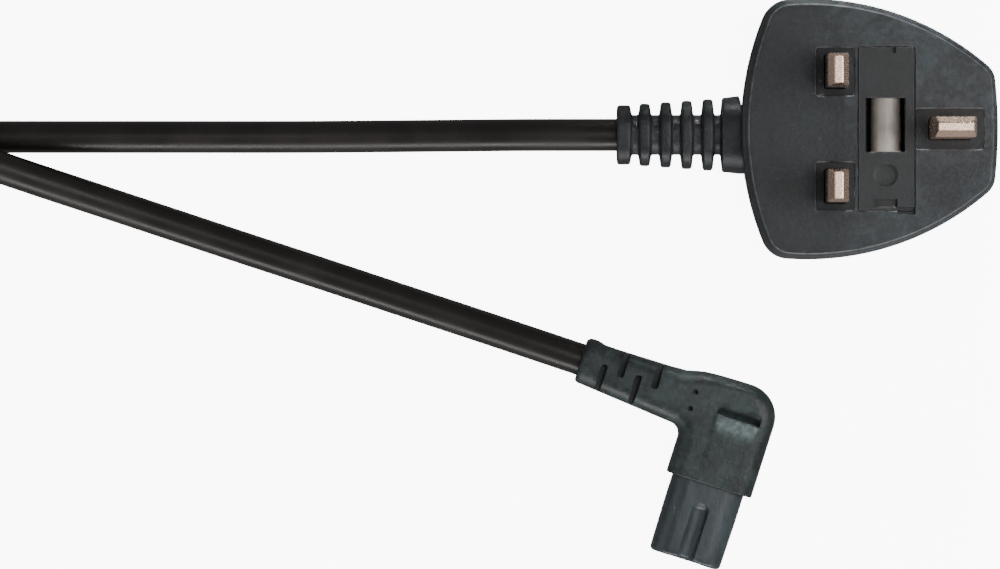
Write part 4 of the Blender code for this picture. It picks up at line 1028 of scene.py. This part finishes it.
class POWERCORD_OT_drawer(Operator):
    """Make the fuse carrier, the fuse and the clips under it"""

    bl_idname = "power_cord.drawer"
    bl_label = "Fuse Drawer"

    def execute(self, context):
        settings = context.scene.power_cord.drawer
        self.carrier(settings)
        self.fuse(settings)
        self.clips(context.scene.power_cord.pins)
        return {"FINISHED"}

    def carrier(self, settings):
        nylon = satin_plastic("carrier_nylon", settings.carrier_colour, 0.42)
        bottom = FACE_Z - POCKET_DEPTH + GAP
        rings = []
        bevel, edge = mm(0.2, 0.06)
        levels = [(bottom, bevel), (bottom + bevel, 0.0), (FACE_Z - edge, 0.0), (FACE_Z, edge)]
        for z, inset in levels:
            grow = 2 * (DRAWER_PLAY - inset)
            points = rounded_rectangle(CARRIER_WIDTH + grow, CARRIER_LENGTH + grow, 0.4 * MM)
            rings.append([(CARRIER_X + x, y, z) for x, y in points])
        piece = new_piece(
            "carrier_drawer", loft(rings), nylon, DRAWER, ["fuse_carrier"],
        )
        join_and_cut(piece, [(tool, "DIFFERENCE") for tool in carrier_tools()])

    def fuse(self, settings):
        ceramic = fired_ceramic("fuse_ceramic", settings.ceramic_colour)
        plated = plated_metal("fuse_cap_plating", settings.cap_colour)
        half = FUSE_LENGTH / 2
        bore = FUSE_RADIUS - FUSE_CAP_WALL
        shoulder = half - FUSE_CAP_LENGTH - GAP
        neck_end = half - FUSE_CAP_WALL - GAP
        rim = 0.15 * MM
        side = [
            (bore - GAP, neck_end), (bore - GAP, shoulder), (FUSE_TUBE_RADIUS - rim, shoulder),
            (FUSE_TUBE_RADIUS, shoulder - rim),
        ]
        profile = [(0, -neck_end)] + [(r, -z) for r, z in side]
        profile += [(r, z) for r, z in reversed(side)] + [(0, neck_end)]
        tube = lie_in_drawer(turned(profile), 0.0, 1)
        new_piece("fuse_barrel", tube, ceramic, DRAWER, ["fuse_tube"])
        for name, facing in (("line", 1), ("load", -1)):
            cap = turned([
                (0, -FUSE_CAP_WALL), (bore, -FUSE_CAP_WALL), (bore, -FUSE_CAP_LENGTH),
                (FUSE_RADIUS - 0.1 * MM, -FUSE_CAP_LENGTH), (FUSE_RADIUS, -FUSE_CAP_LENGTH + 0.1 * MM),
                (FUSE_RADIUS, -0.5 * MM), (FUSE_RADIUS - 0.15 * MM, -0.2 * MM),
                (FUSE_RADIUS - 0.5 * MM, -0.02 * MM), (1.2 * MM, 0), (0, 0),
            ])
            new_piece(
                f"fuse_end_{name}", lie_in_drawer(cap, facing * half, facing), plated,
                DRAWER, [f"fuse_cap_{name}"],
            )

    def clips(self, settings):
        brass = worn_brass("clip_brass", settings.colour, 0.26, (1.0, 0.1, 1.0))
        inner = FUSE_RADIUS + GAP
        low = FUSE_Z - inner - CLIP_THICKNESS
        profile = []
        for reach, bottom, radius, order in (
            (inner + CLIP_THICKNESS, low, CLIP_CORNER + CLIP_THICKNESS, 1),
            (inner, low + CLIP_THICKNESS, CLIP_CORNER, -1),
        ):
            path = [(-reach, FUSE_Z)]
            path += arc((-reach + radius, bottom + radius), radius, pi, 1.5 * pi, 8)
            path += arc((reach - radius, bottom + radius), radius, 1.5 * pi, 2 * pi, 8)
            path += [(reach, bottom + radius), (reach, FUSE_Z)]
            profile += path[::order]
        middle = (FUSE_LENGTH - FUSE_CAP_LENGTH) / 2
        for name, side in (("line", 1), ("load", -1)):
            ends = [side * middle - 2 * MM, side * middle + 2 * MM]
            rings = [[(CARRIER_X + x, y, z) for x, z in profile] for y in ends]
            new_piece(f"clip_jaws_{name}", loft(rings), brass, LEAD, [f"fuse_clip_{name}"])


# Connector


def connector_section(inner, outer, thickness, rounding=3.3 * MM):
    """A rounded section standing between two points of the outline."""
    inner, outer = Vector(inner), Vector(outer)
    middle = (inner + outer) / 2
    along = (outer - inner).normalized()
    points = rounded_rectangle((outer - inner).length, thickness, min(rounding, 0.46 * thickness), 9)
    return [(*(middle + along * a), CONNECTOR_Z + b) for a, b in points]


def connector_rings():
    """The arm, the turn and the shoulder, as sections from the cord's end."""
    root = BODY_LEFT - INNER_CORNER
    rings = []
    arm = [
        (0.0, 0.5, 0.0), (0.006, 0.25, 0.1), (0.02, 0.08, 0.25), (0.04, 0.0, 0.35), (0.08, 0.0, 0.4),
        (0.115, 0.0, 0.34), (0.15, 0.0, 0.15), (0.19, 0.0, -0.05), (0.26, 0.0, -0.1),
        (0.36, 0.0, -0.1), (0.46, 0.0, -0.08), (0.56, 0.0, -0.06), (0.66, 0.0, -0.04),
        (0.76, 0.0, -0.02), (0.86, 0.0, 0.0), (0.94, 0.0, 0.1),
    ]
    for share, inset, bead in arm:
        x = blend(ARM_END_X, root, share)
        low = blend(*ARM_LOW, share) + inset
        high = blend(*ARM_HIGH, share) + bead - inset
        thickness = blend(*ARM_THICKNESS, share) - 2 * inset
        rings.append(connector_section((x, low * MM), (x, high * MM), thickness * MM))
    centre = (root, ARM_LOW[1] * MM - INNER_CORNER)
    outer_centre = (BODY_RIGHT - BODY_CORNER, BODY_TOP - BODY_CORNER)
    outers = [mm(*point) for point in (
        (-9.5, 15.42), (-8.3, 15.7), (-7.0, 16.05), (-5.6, 16.3), (-3.8, 16.45), (-1.4, 16.55),
        (1.2, 16.6),
    )]
    outers += arc(outer_centre, BODY_CORNER, pi / 2, 0.0, 16)
    outers += [(BODY_RIGHT, y) for y in (outer_centre[1], 6.5 * MM, 2.5 * MM)]
    for i, outer in enumerate(outers):
        angle = i / (len(outers) - 1) * pi / 2
        inner = (centre[0] + INNER_CORNER * sin(angle), centre[1] + INNER_CORNER * cos(angle))
        rings.append(connector_section(inner, outer, BODY_THICKNESS))
    for y, inset in ((1.0, 0.0), (-2.0, 0.0), (-4.2, 0.0), (-4.42, 0.06), (-4.55, 0.18), (-4.6, 0.4)):
        y, inset = mm(y, inset)
        rings.append(connector_section(
            (BODY_LEFT + inset, y), (BODY_RIGHT - inset, y), BODY_THICKNESS - 2 * inset,
        ))
    return rings


def thumb_pad():
    """The raised pad on the broad face: a lip under the groove, falling away to the shoulder."""
    left, right, under = -1.9, 7.9, -0.03
    slopes = [
        (-4.2, under), (-3.9, 0.03), (-1.0, 0.05), (2.0, 0.07), (4.2, 0.1), (5.4, 0.16), (6.2, 0.24),
        (7.0, 0.36), (7.7, 0.48), (8.2, 0.55), (8.6, 0.58), (8.85, 0.53), (9.0, 0.38), (9.08, 0.17),
        (9.12, under),
    ]
    sides = [(0.0, under), (0.35, 0.12), (0.8, 0.45), (1.2, 0.8), (1.7, 1.0)]
    rings = []
    for y, height in slopes:
        half = [(inset, share * height if share > 0 else under) for inset, share in sides]
        ring = [(left, -1.0), (right, -1.0)]
        ring += [(right - inset, z) for inset, z in half]
        ring += [(left + inset, z) for inset, z in reversed(half)]
        rings.append([(x * MM, y * MM, BODY_THICKNESS + z * MM) for x, z in ring])
    return loft(rings)


def thumb_groove():
    """The groove above the pad: steep below the lip, easing out towards the body's top."""
    left, right = -0.9, 6.9
    profile = [
        (9.1, 1.0), (9.12, 0.0), (9.16, -0.75), (9.35, -1.05), (9.7, -1.0), (10.1, -0.62),
        (10.45, -0.3), (10.8, -0.1), (11.15, 0.0), (11.2, 1.0),
    ]
    ends = [
        (left - 0.5, 0.12), (left - 0.3, 0.6), (left, 1.0),
        (right, 1.0), (right + 0.3, 0.6), (right + 0.5, 0.12),
    ]
    rings = []
    for x, share in ends:
        ring = [(y, z * share if z < 0 else z + 0.001) for y, z in profile]
        rings.append([(x * MM, y * MM, BODY_THICKNESS + z * MM) for y, z in ring])
    return loft(rings)


def arm_slots():
    """The relief slots, alternately open to each side of the arm."""
    cutters = []
    for slot in range(4):
        x = (-14.5 - 3.5 * slot) * MM
        y = (10.9 + (2.1 if slot % 2 == 0 else -2.1)) * MM
        surface = CONNECTOR_Z + blend(*ARM_THICKNESS, (x - ARM_END_X) / ARM_LENGTH) / 2 * MM
        cutters.append(pit(
            (x, y), 1.2 * MM, 5.8 * MM, 0.55 * MM, surface - 2.4 * MM, surface, 0.12 * MM, 8, 0.1 * MM,
        ))
    return cutters


def pin_dots():
    """Two small round holes between the arm and the pad."""
    cutters = []
    for y in (8.5, 11.9):
        dot = turned([mm(*point) for point in (
            (0, 8.6), (0.48, 8.6), (0.48, 10.3), (0.6, 10.45), (0.6, 12), (0, 12),
        )], 32)
        dot.transform(Matrix.Translation(mm(-6.6, y, 0.0)))
        cutters.append(dot)
    return cutters


def nose_outline(width, thickness, groove, waist):
    """Half-round ends joined by flats, with a round-cornered groove in the middle of each flat."""
    radius = thickness / 2
    reach = width / 2 - radius
    points = []
    for side in (1, -1):
        start = -pi / 2 if side > 0 else pi / 2
        points += arc((side * reach, 0.0), radius, start, start + pi, 24)
        points.append((side * reach, side * radius))
        for step in range(17):
            along = 1 - 2 * step / 16
            depth = waist * (1 - abs(along) ** 2.6) ** 0.7
            points.append((side * groove * along * 1.02, side * (radius - depth)))
    return points


def nose_ring(y, grow, groove, waist):
    points = nose_outline(NOSE_WIDTH + 2 * grow, NOSE_THICKNESS + 2 * grow, groove, waist)
    return [(NOSE_X + x, y, CONNECTOR_Z + z) for x, z in points]


def nose_loft(waist_depth):
    """The insert: plain at the root, then the waist groove with its rounded start."""
    start = SHOULDER_Y - 3.7 * MM
    rings = [nose_ring(y, 0.0, WAIST_HALF * 0.2, 0.0) for y in (SHOULDER_Y + 2.5 * MM, start)]
    for step in range(1, 9):
        share = step / 8
        width = WAIST_HALF * sqrt(1 - (1 - share) ** 2)
        depth = waist_depth * ease(0.15 + 0.85 * share)
        rings.append(nose_ring(start - share * WAIST_HALF, 0.0, width, depth))
    taper = -0.15 * MM
    halfway = blend(start - WAIST_HALF, NOSE_END, 0.5)
    rings.append(nose_ring(halfway, taper / 2, WAIST_HALF, waist_depth))
    for back, shrink in ((0.9, 0.0), (0.6, 0.06), (0.33, 0.2), (0.13, 0.42), (0.0, 0.75)):
        ring = nose_ring(NOSE_END + back * MM, taper - shrink * MM, WAIST_HALF, waist_depth)
        rings.append([(x, y + end_valley(x), z) for x, y, z in ring])
    return loft(rings)


def end_valley(x):
    """How far the nose's end draws back between its two lobes."""
    return 0.4 * MM * exp(-((x - NOSE_X) / (2.0 * MM)) ** 2)


def along_nose(side, start):
    """The place of a part made round Z that points out of the nose's end, at one contact."""
    place = (NOSE_X + side * CONTACT_SPACING / 2, NOSE_END + start, CONNECTOR_Z)
    return Matrix.Translation(place) @ Matrix.Rotation(pi / 2, 4, "X")


class POWERCORD_OT_connector(Operator):
    """Mould the right-angle connector with its nose and contacts"""

    bl_idname = "power_cord.connector"
    bl_label = "Connector"

    def execute(self, context):
        settings = context.scene.power_cord.connector
        self.moulding(settings)
        self.nose(settings)
        self.contacts(context.scene.power_cord.pins)
        return {"FINISHED"}

    def moulding(self, settings):
        bloom = (0.028, 0.043, 0.044)
        pvc = soft_plastic("connector_pvc", settings.colour, 0.4, bloom, lip_level=BODY_THICKNESS)
        piece = new_piece(
            "connector_moulding", loft(connector_rings()), pvc, LEAD, ["connector_body"],
        )
        socket = loft([
            nose_ring(y, PIN_GAP, MM, 0.0) for y in (SHOULDER_Y + 2.8 * MM, SHOULDER_Y - 2.5 * MM)
        ])
        bore = cord_bore((ARM_END_X, ARM_AXIS_Y, CONNECTOR_Z))
        cutters = [*arm_slots(), socket, bore, thumb_groove(), *pin_dots()]
        join_and_cut(piece, [(thumb_pad(), "UNION"), *((cutter, "DIFFERENCE") for cutter in cutters)])
        piece.data.transform(CONNECTOR_TO_WORLD)

    def nose(self, settings):
        nylon = satin_plastic("nose_nylon", settings.nose_colour, 0.32)
        nose = new_piece(
            "connector_insert", nose_loft(settings.waist_depth), nylon, LEAD,
            ["connector_nose"],
        )
        tools = []
        for side in (1, -1):
            hole = turned([mm(*point) for point in (
                (0, 0), (1.75, 0), (1.75, 13.0), (2.0, 13.3), (2.0, 16), (0, 16),
            )])
            hole.transform(along_nose(side, 13.1 * MM))
            tools.append((hole, "DIFFERENCE"))
        join_and_cut(nose, tools)
        nose.data.transform(CONNECTOR_TO_WORLD)

    def contacts(self, settings):
        brass = worn_brass("contact_brass", tinted(settings.colour, 1.0, (0.04, 0.13, 0.12)), 0.24)
        for name, side in (("line", 1), ("neutral", -1)):
            tube = turned([
                (0, 0), (1.4 * MM, 0), (1.55 * MM, 0.15 * MM), (1.55 * MM, CONTACT_LENGTH - 0.1 * MM),
                (1.45 * MM, CONTACT_LENGTH), (1.3 * MM, CONTACT_LENGTH),
                (1.2 * MM, CONTACT_LENGTH - 0.15 * MM), (1.2 * MM, 1.6 * MM), (0, 1.6 * MM),
            ])
            tube.transform(CONNECTOR_TO_WORLD @ along_nose(side, 12.7 * MM))
            new_piece(f"contact_tube_{name}", tube, brass, LEAD, [f"{name}_contact"])


# Cord


def distances(points):
    """How far along a line each of its points is."""
    return np.concatenate([[0.0], np.cumsum(np.linalg.norm(np.diff(points, axis=0), axis=1))])


def smooth_line(points, step):
    """Evenly spaced points on a smooth curve through the route's own points."""
    route = np.array(points, float)
    ends = np.vstack([2 * route[0] - route[1], route, 2 * route[-1] - route[-2]])
    fine = []
    for a, b, c, d in zip(ends, ends[1:], ends[2:], ends[3:]):
        for t in np.linspace(0.0, 1.0, 24, endpoint=False):
            square = 2 * a - 5 * b + 4 * c - d
            cube = 3 * b - a - 3 * c + d
            fine.append(b + (c - a) * t / 2 + square * t**2 / 2 + cube * t**3 / 2)
    fine = np.array([*fine, route[-1]])
    along = distances(fine)
    marks = np.linspace(0.0, along[-1], max(2, round(along[-1] / step) + 1))
    return np.column_stack([np.interp(marks, along, fine[:, axis]) for axis in range(3)])


def turn_place(turn):
    """Radius and height of the wound cord after so many turns: each layer winds back over the last."""
    layer = min(int(turn / TURNS_PER_LAYER), LAYERS - 1)
    within = turn - layer * TURNS_PER_LAYER
    if layer == LAYERS - 1:
        last = COIL_TURNS - layer * TURNS_PER_LAYER
        steps = TURNS_PER_LAYER * ease(within / last) ** 0.9
    else:
        steps = TURNS_PER_LAYER - within if layer % 2 == 0 else within
    radius = COIL_INNER_TURN + TURN_PITCH * steps
    climbs = [ease((turn - TURNS_PER_LAYER * k + 0.4) / 0.8) for k in range(1, LAYERS)]
    return radius, LOWEST_TURN_Z + TURN_PITCH * sum(climbs)


def coil_point(radius, angle, height):
    return (COIL_CENTRE.x + radius * cos(angle), COIL_CENTRE.y + radius * sin(angle), height)


def coil_line():
    points = []
    steps = int(COIL_TURNS * STEPS_PER_TURN)
    for step in range(steps + 1):
        turn = COIL_TURNS * step / steps
        radius, height = turn_place(turn)
        points.append(coil_point(radius, COIL_START - 2 * pi * turn, height))
    return np.array(points)


def cord_line():
    """The whole cord's centre line, from the plug through the coil to the connector."""
    coil = coil_line() / MM
    first = smooth_line([*PLUG_RUN, *coil[3:12:4]], 3.0)
    last = smooth_line([*coil[-12:-3:4], *reversed(CONNECTOR_RUN)], 3.0)
    return np.vstack([first[:-1], coil[12:-12], last[1:]]) * MM


def tube_along(points, radius, sides):
    """A round tube with flat ends, and how far along and where round the cord each point is."""
    steps = np.diff(points, axis=0)
    heading = np.vstack([steps[0], (steps[1:] + steps[:-1]) / 2, steps[-1]])
    heading /= np.linalg.norm(heading, axis=1)[:, None]
    up = np.array([0.0, 0.0, 1.0])
    angles = np.linspace(0.0, 2 * pi, sides, endpoint=False)
    bm = bmesh.new()
    distance = bm.verts.layers.float.new("along_cord")
    around = bm.verts.layers.float_vector.new("round_cord")
    rings = []
    for point, way, length in zip(points, heading, distances(points)):
        side = np.cross(way, up)
        side /= np.linalg.norm(side)
        top = np.cross(side, way)
        ring = add_ring(bm, [point + (side * cos(a) + top * sin(a)) * radius for a in angles])
        for vert, angle in zip(ring, angles):
            vert[distance] = length
            vert[around] = (radius * cos(angle), radius * sin(angle), length)
        rings.append(ring)
    for ring, other in zip(rings, rings[1:]):
        bridge(bm, ring, other)
    bm.faces.new(rings[0])
    bm.faces.new(rings[-1])
    return bm


def hull(points):
    """The outermost of some flat points, anticlockwise."""
    points = sorted(set(points))
    sides = []
    for run in (points, points[::-1]):
        chain = []
        for p in run:
            while len(chain) > 1:
                (ax, ay), (bx, by) = chain[-2], chain[-1]
                if (bx - ax) * (p[1] - ay) - (by - ay) * (p[0] - ax) > 0:
                    break
                chain.pop()
            chain.append(p)
        sides += chain[:-1]
    return sides


def strap_section(angle, grow, count=96):
    """Evenly spaced points round all the turns that pass at an angle, as (radius, height)."""
    points = []
    turn = (COIL_START - angle) / (2 * pi) % 1.0
    while turn < COIL_TURNS:
        points += arc(turn_place(turn), CORD_RADIUS + grow, 0.0, 2 * pi, 48)
        turn += 1.0
    ring = np.array(hull([(round(r, 9), round(z, 9)) for r, z in points]))
    start = int(np.argmax(ring[:, 0]))
    ring = np.vstack([ring, ring[0]])
    along = distances(ring)
    marks = (along[start] + np.linspace(0.0, along[-1], count, endpoint=False)) % along[-1]
    return [tuple(float(np.interp(m, along, ring[:, axis])) for axis in range(2)) for m in marks]


class POWERCORD_OT_cord(Operator):
    """Lay the cord with its surplus in a coil, and strap the coil"""

    bl_idname = "power_cord.cord"
    bl_label = "Cord"

    def execute(self, context):
        settings = context.scene.power_cord.cord
        line = cord_line()
        cord = new_piece(
            "mains_cord", tube_along(line, CORD_RADIUS, settings.sides),
            cord_sheath("cord_sheath", settings.colour), LEAD,
            ["cord_plug_run", "cord_coil", "cord_connector_run"], sharp=60,
        )
        on_cord = self.straps(settings) + [bpy.data.objects[name] for name in (
            "connector_moulding", "connector_insert", "contact_tube_line", "contact_tube_neutral",
        )]
        return {"FINISHED"}

    def straps(self, settings):
        webbing = woven_strap("strap_webbing", settings.strap_colour)
        half = asin(STRAP_HALF_WIDTH / (COIL_INNER_TURN + 2 * TURN_PITCH))
        across = [(-1, 0.35), (-0.93, 0.08), (-0.8, 0), (0, 0), (0.8, 0), (0.93, 0.08), (1, 0.35)]
        made = []
        for number, middle in enumerate(STRAP_ANGLES, 1):
            outer, inner = [], []
            for share, edge in across:
                angle = middle + half * share
                for rings, grow in (
                    (outer, STRAP_GAP + STRAP_THICKNESS - edge * MM),
                    (inner, STRAP_GAP + edge * 0.3 * MM),
                ):
                    rings.append([coil_point(r, angle, z) for r, z in strap_section(middle, grow)])
            made.append(new_piece(
                f"coil_strap_{number}", hollow_loft(outer, inner), webbing, LEAD,
                [f"coil_tie_{number}"], sharp=50,
            ))
        return made


# Stage


class POWERCORD_OT_stage(Operator):
    """Lay the floor and set the lights and the camera"""

    bl_idname = "power_cord.stage"
    bl_label = "Stage"

    def execute(self, context):
        settings = context.scene.power_cord.stage
        self.floor(settings)
        self.sky(context, settings)
        self.lights(settings)
        self.camera(context, settings)
        return {"FINISHED"}

    def floor(self, settings):
        half = settings.floor_size / 2
        bm = bmesh.new()
        corners = [(-half, -half, 0), (half, -half, 0), (half, half, 0), (-half, half, 0)]
        bm.faces.new(add_ring(bm, corners))
        floor = link_mesh("floor", bm)
        paper = paper_floor("studio_paper", settings.floor_colour, settings.floor_glow)
        floor.data.materials.append(paper)
        floor.location = mm(-100, -30, -0.2)
        floor.visible_glossy = False
        floor.visible_diffuse = False

    def sky(self, context, settings):
        world = bpy.data.worlds.new("studio_walls")
        world.use_nodes = True
        background = world.node_tree.nodes["Background"].inputs
        background["Color"].default_value = (0.98, 0.99, 1.0, 1.0)
        background["Strength"].default_value = settings.sky
        context.scene.world = world

    def lights(self, settings):
        plug, cord, rim = (0.0, -0.02, 0.0), (-0.1, 0.0, 0.0), (0.02, 0.02, 0.018)
        middle = (-0.1, -0.02, 0.0)
        self.panel("overhead", (0.28, 0.05, 1.45), plug, (0.5, 0.3), settings.overhead_power)
        self.panel("low_strip", (-0.1, -0.95, 0.28), cord, (1.6, 0.2), settings.strip_power)
        self.panel("side", (0.32, -0.03, 0.38), plug, (0.2, 0.35), settings.side_power)
        self.panel("far_side", (-0.95, 0.1, 0.6), middle, (0.5, 0.9), settings.side_power)
        self.panel("gridded", (0.03, 0.5, 0.14), rim, (0.09, 0.08), settings.rim_power, radians(9))

    def panel(self, name, place, target, size, power, spread=pi):
        data = bpy.data.lights.new(name, "AREA")
        data.shape = "RECTANGLE"
        data.size, data.size_y = size
        data.energy = power
        data.spread = spread
        light = bpy.data.objects.new(name, data)
        light.location = place
        light.rotation_euler = (Vector(target) - Vector(place)).to_track_quat("-Z", "Y").to_euler()
        bpy.context.collection.objects.link(light)

    def camera(self, context, settings):
        data = bpy.data.cameras.new("camera")
        data.sensor_fit = "HORIZONTAL"
        data.sensor_width = 36.0
        data.lens = settings.camera_lens
        camera = bpy.data.objects.new("camera", data)
        camera.location = (-71.7 * MM, -30.15 * MM, settings.camera_height)
        bpy.context.collection.objects.link(camera)
        context.scene.camera = camera


class POWERCORD_PT_panel(Panel):
    """Everything that the model is built from"""

    bl_label = "Power Cord"
    bl_idname = "POWERCORD_PT_panel"
    bl_space_type = "VIEW_3D"
    bl_region_type = "UI"
    bl_category = "Power Cord"

    def draw(self, context):
        settings = context.scene.power_cord
        for name, operator in STEPS.items():
            box = self.layout.box()
            group = getattr(settings, name)
            for prop in group.bl_rna.properties:
                if prop.identifier not in ("rna_type", "name"):
                    box.prop(group, prop.identifier)
            box.operator(operator.bl_idname)


STEPS = {
    "stage": POWERCORD_OT_stage,
    "plug": POWERCORD_OT_plug,
    "pins": POWERCORD_OT_pins,
    "drawer": POWERCORD_OT_drawer,
    "connector": POWERCORD_OT_connector,
    "cord": POWERCORD_OT_cord,
}
CLASSES = [
    StageSettings, PlugSettings, PinSettings, DrawerSettings, ConnectorSettings, CordSettings,
    PowerCordSettings, *STEPS.values(), POWERCORD_PT_panel,
]


def register():
    for cls in CLASSES:
        bpy.utils.register_class(cls)
    bpy.types.Scene.power_cord = PointerProperty(type=PowerCordSettings)


def unregister():
    del bpy.types.Scene.power_cord
    for cls in reversed(CLASSES):
        bpy.utils.unregister_class(cls)


def main():
    register()
    bpy.ops.power_cord.stage()
    bpy.ops.power_cord.plug()
    bpy.ops.power_cord.pins()
    bpy.ops.power_cord.drawer()
    bpy.ops.power_cord.connector()
    bpy.ops.power_cord.cord()


if __name__ == "__main__":
    main()
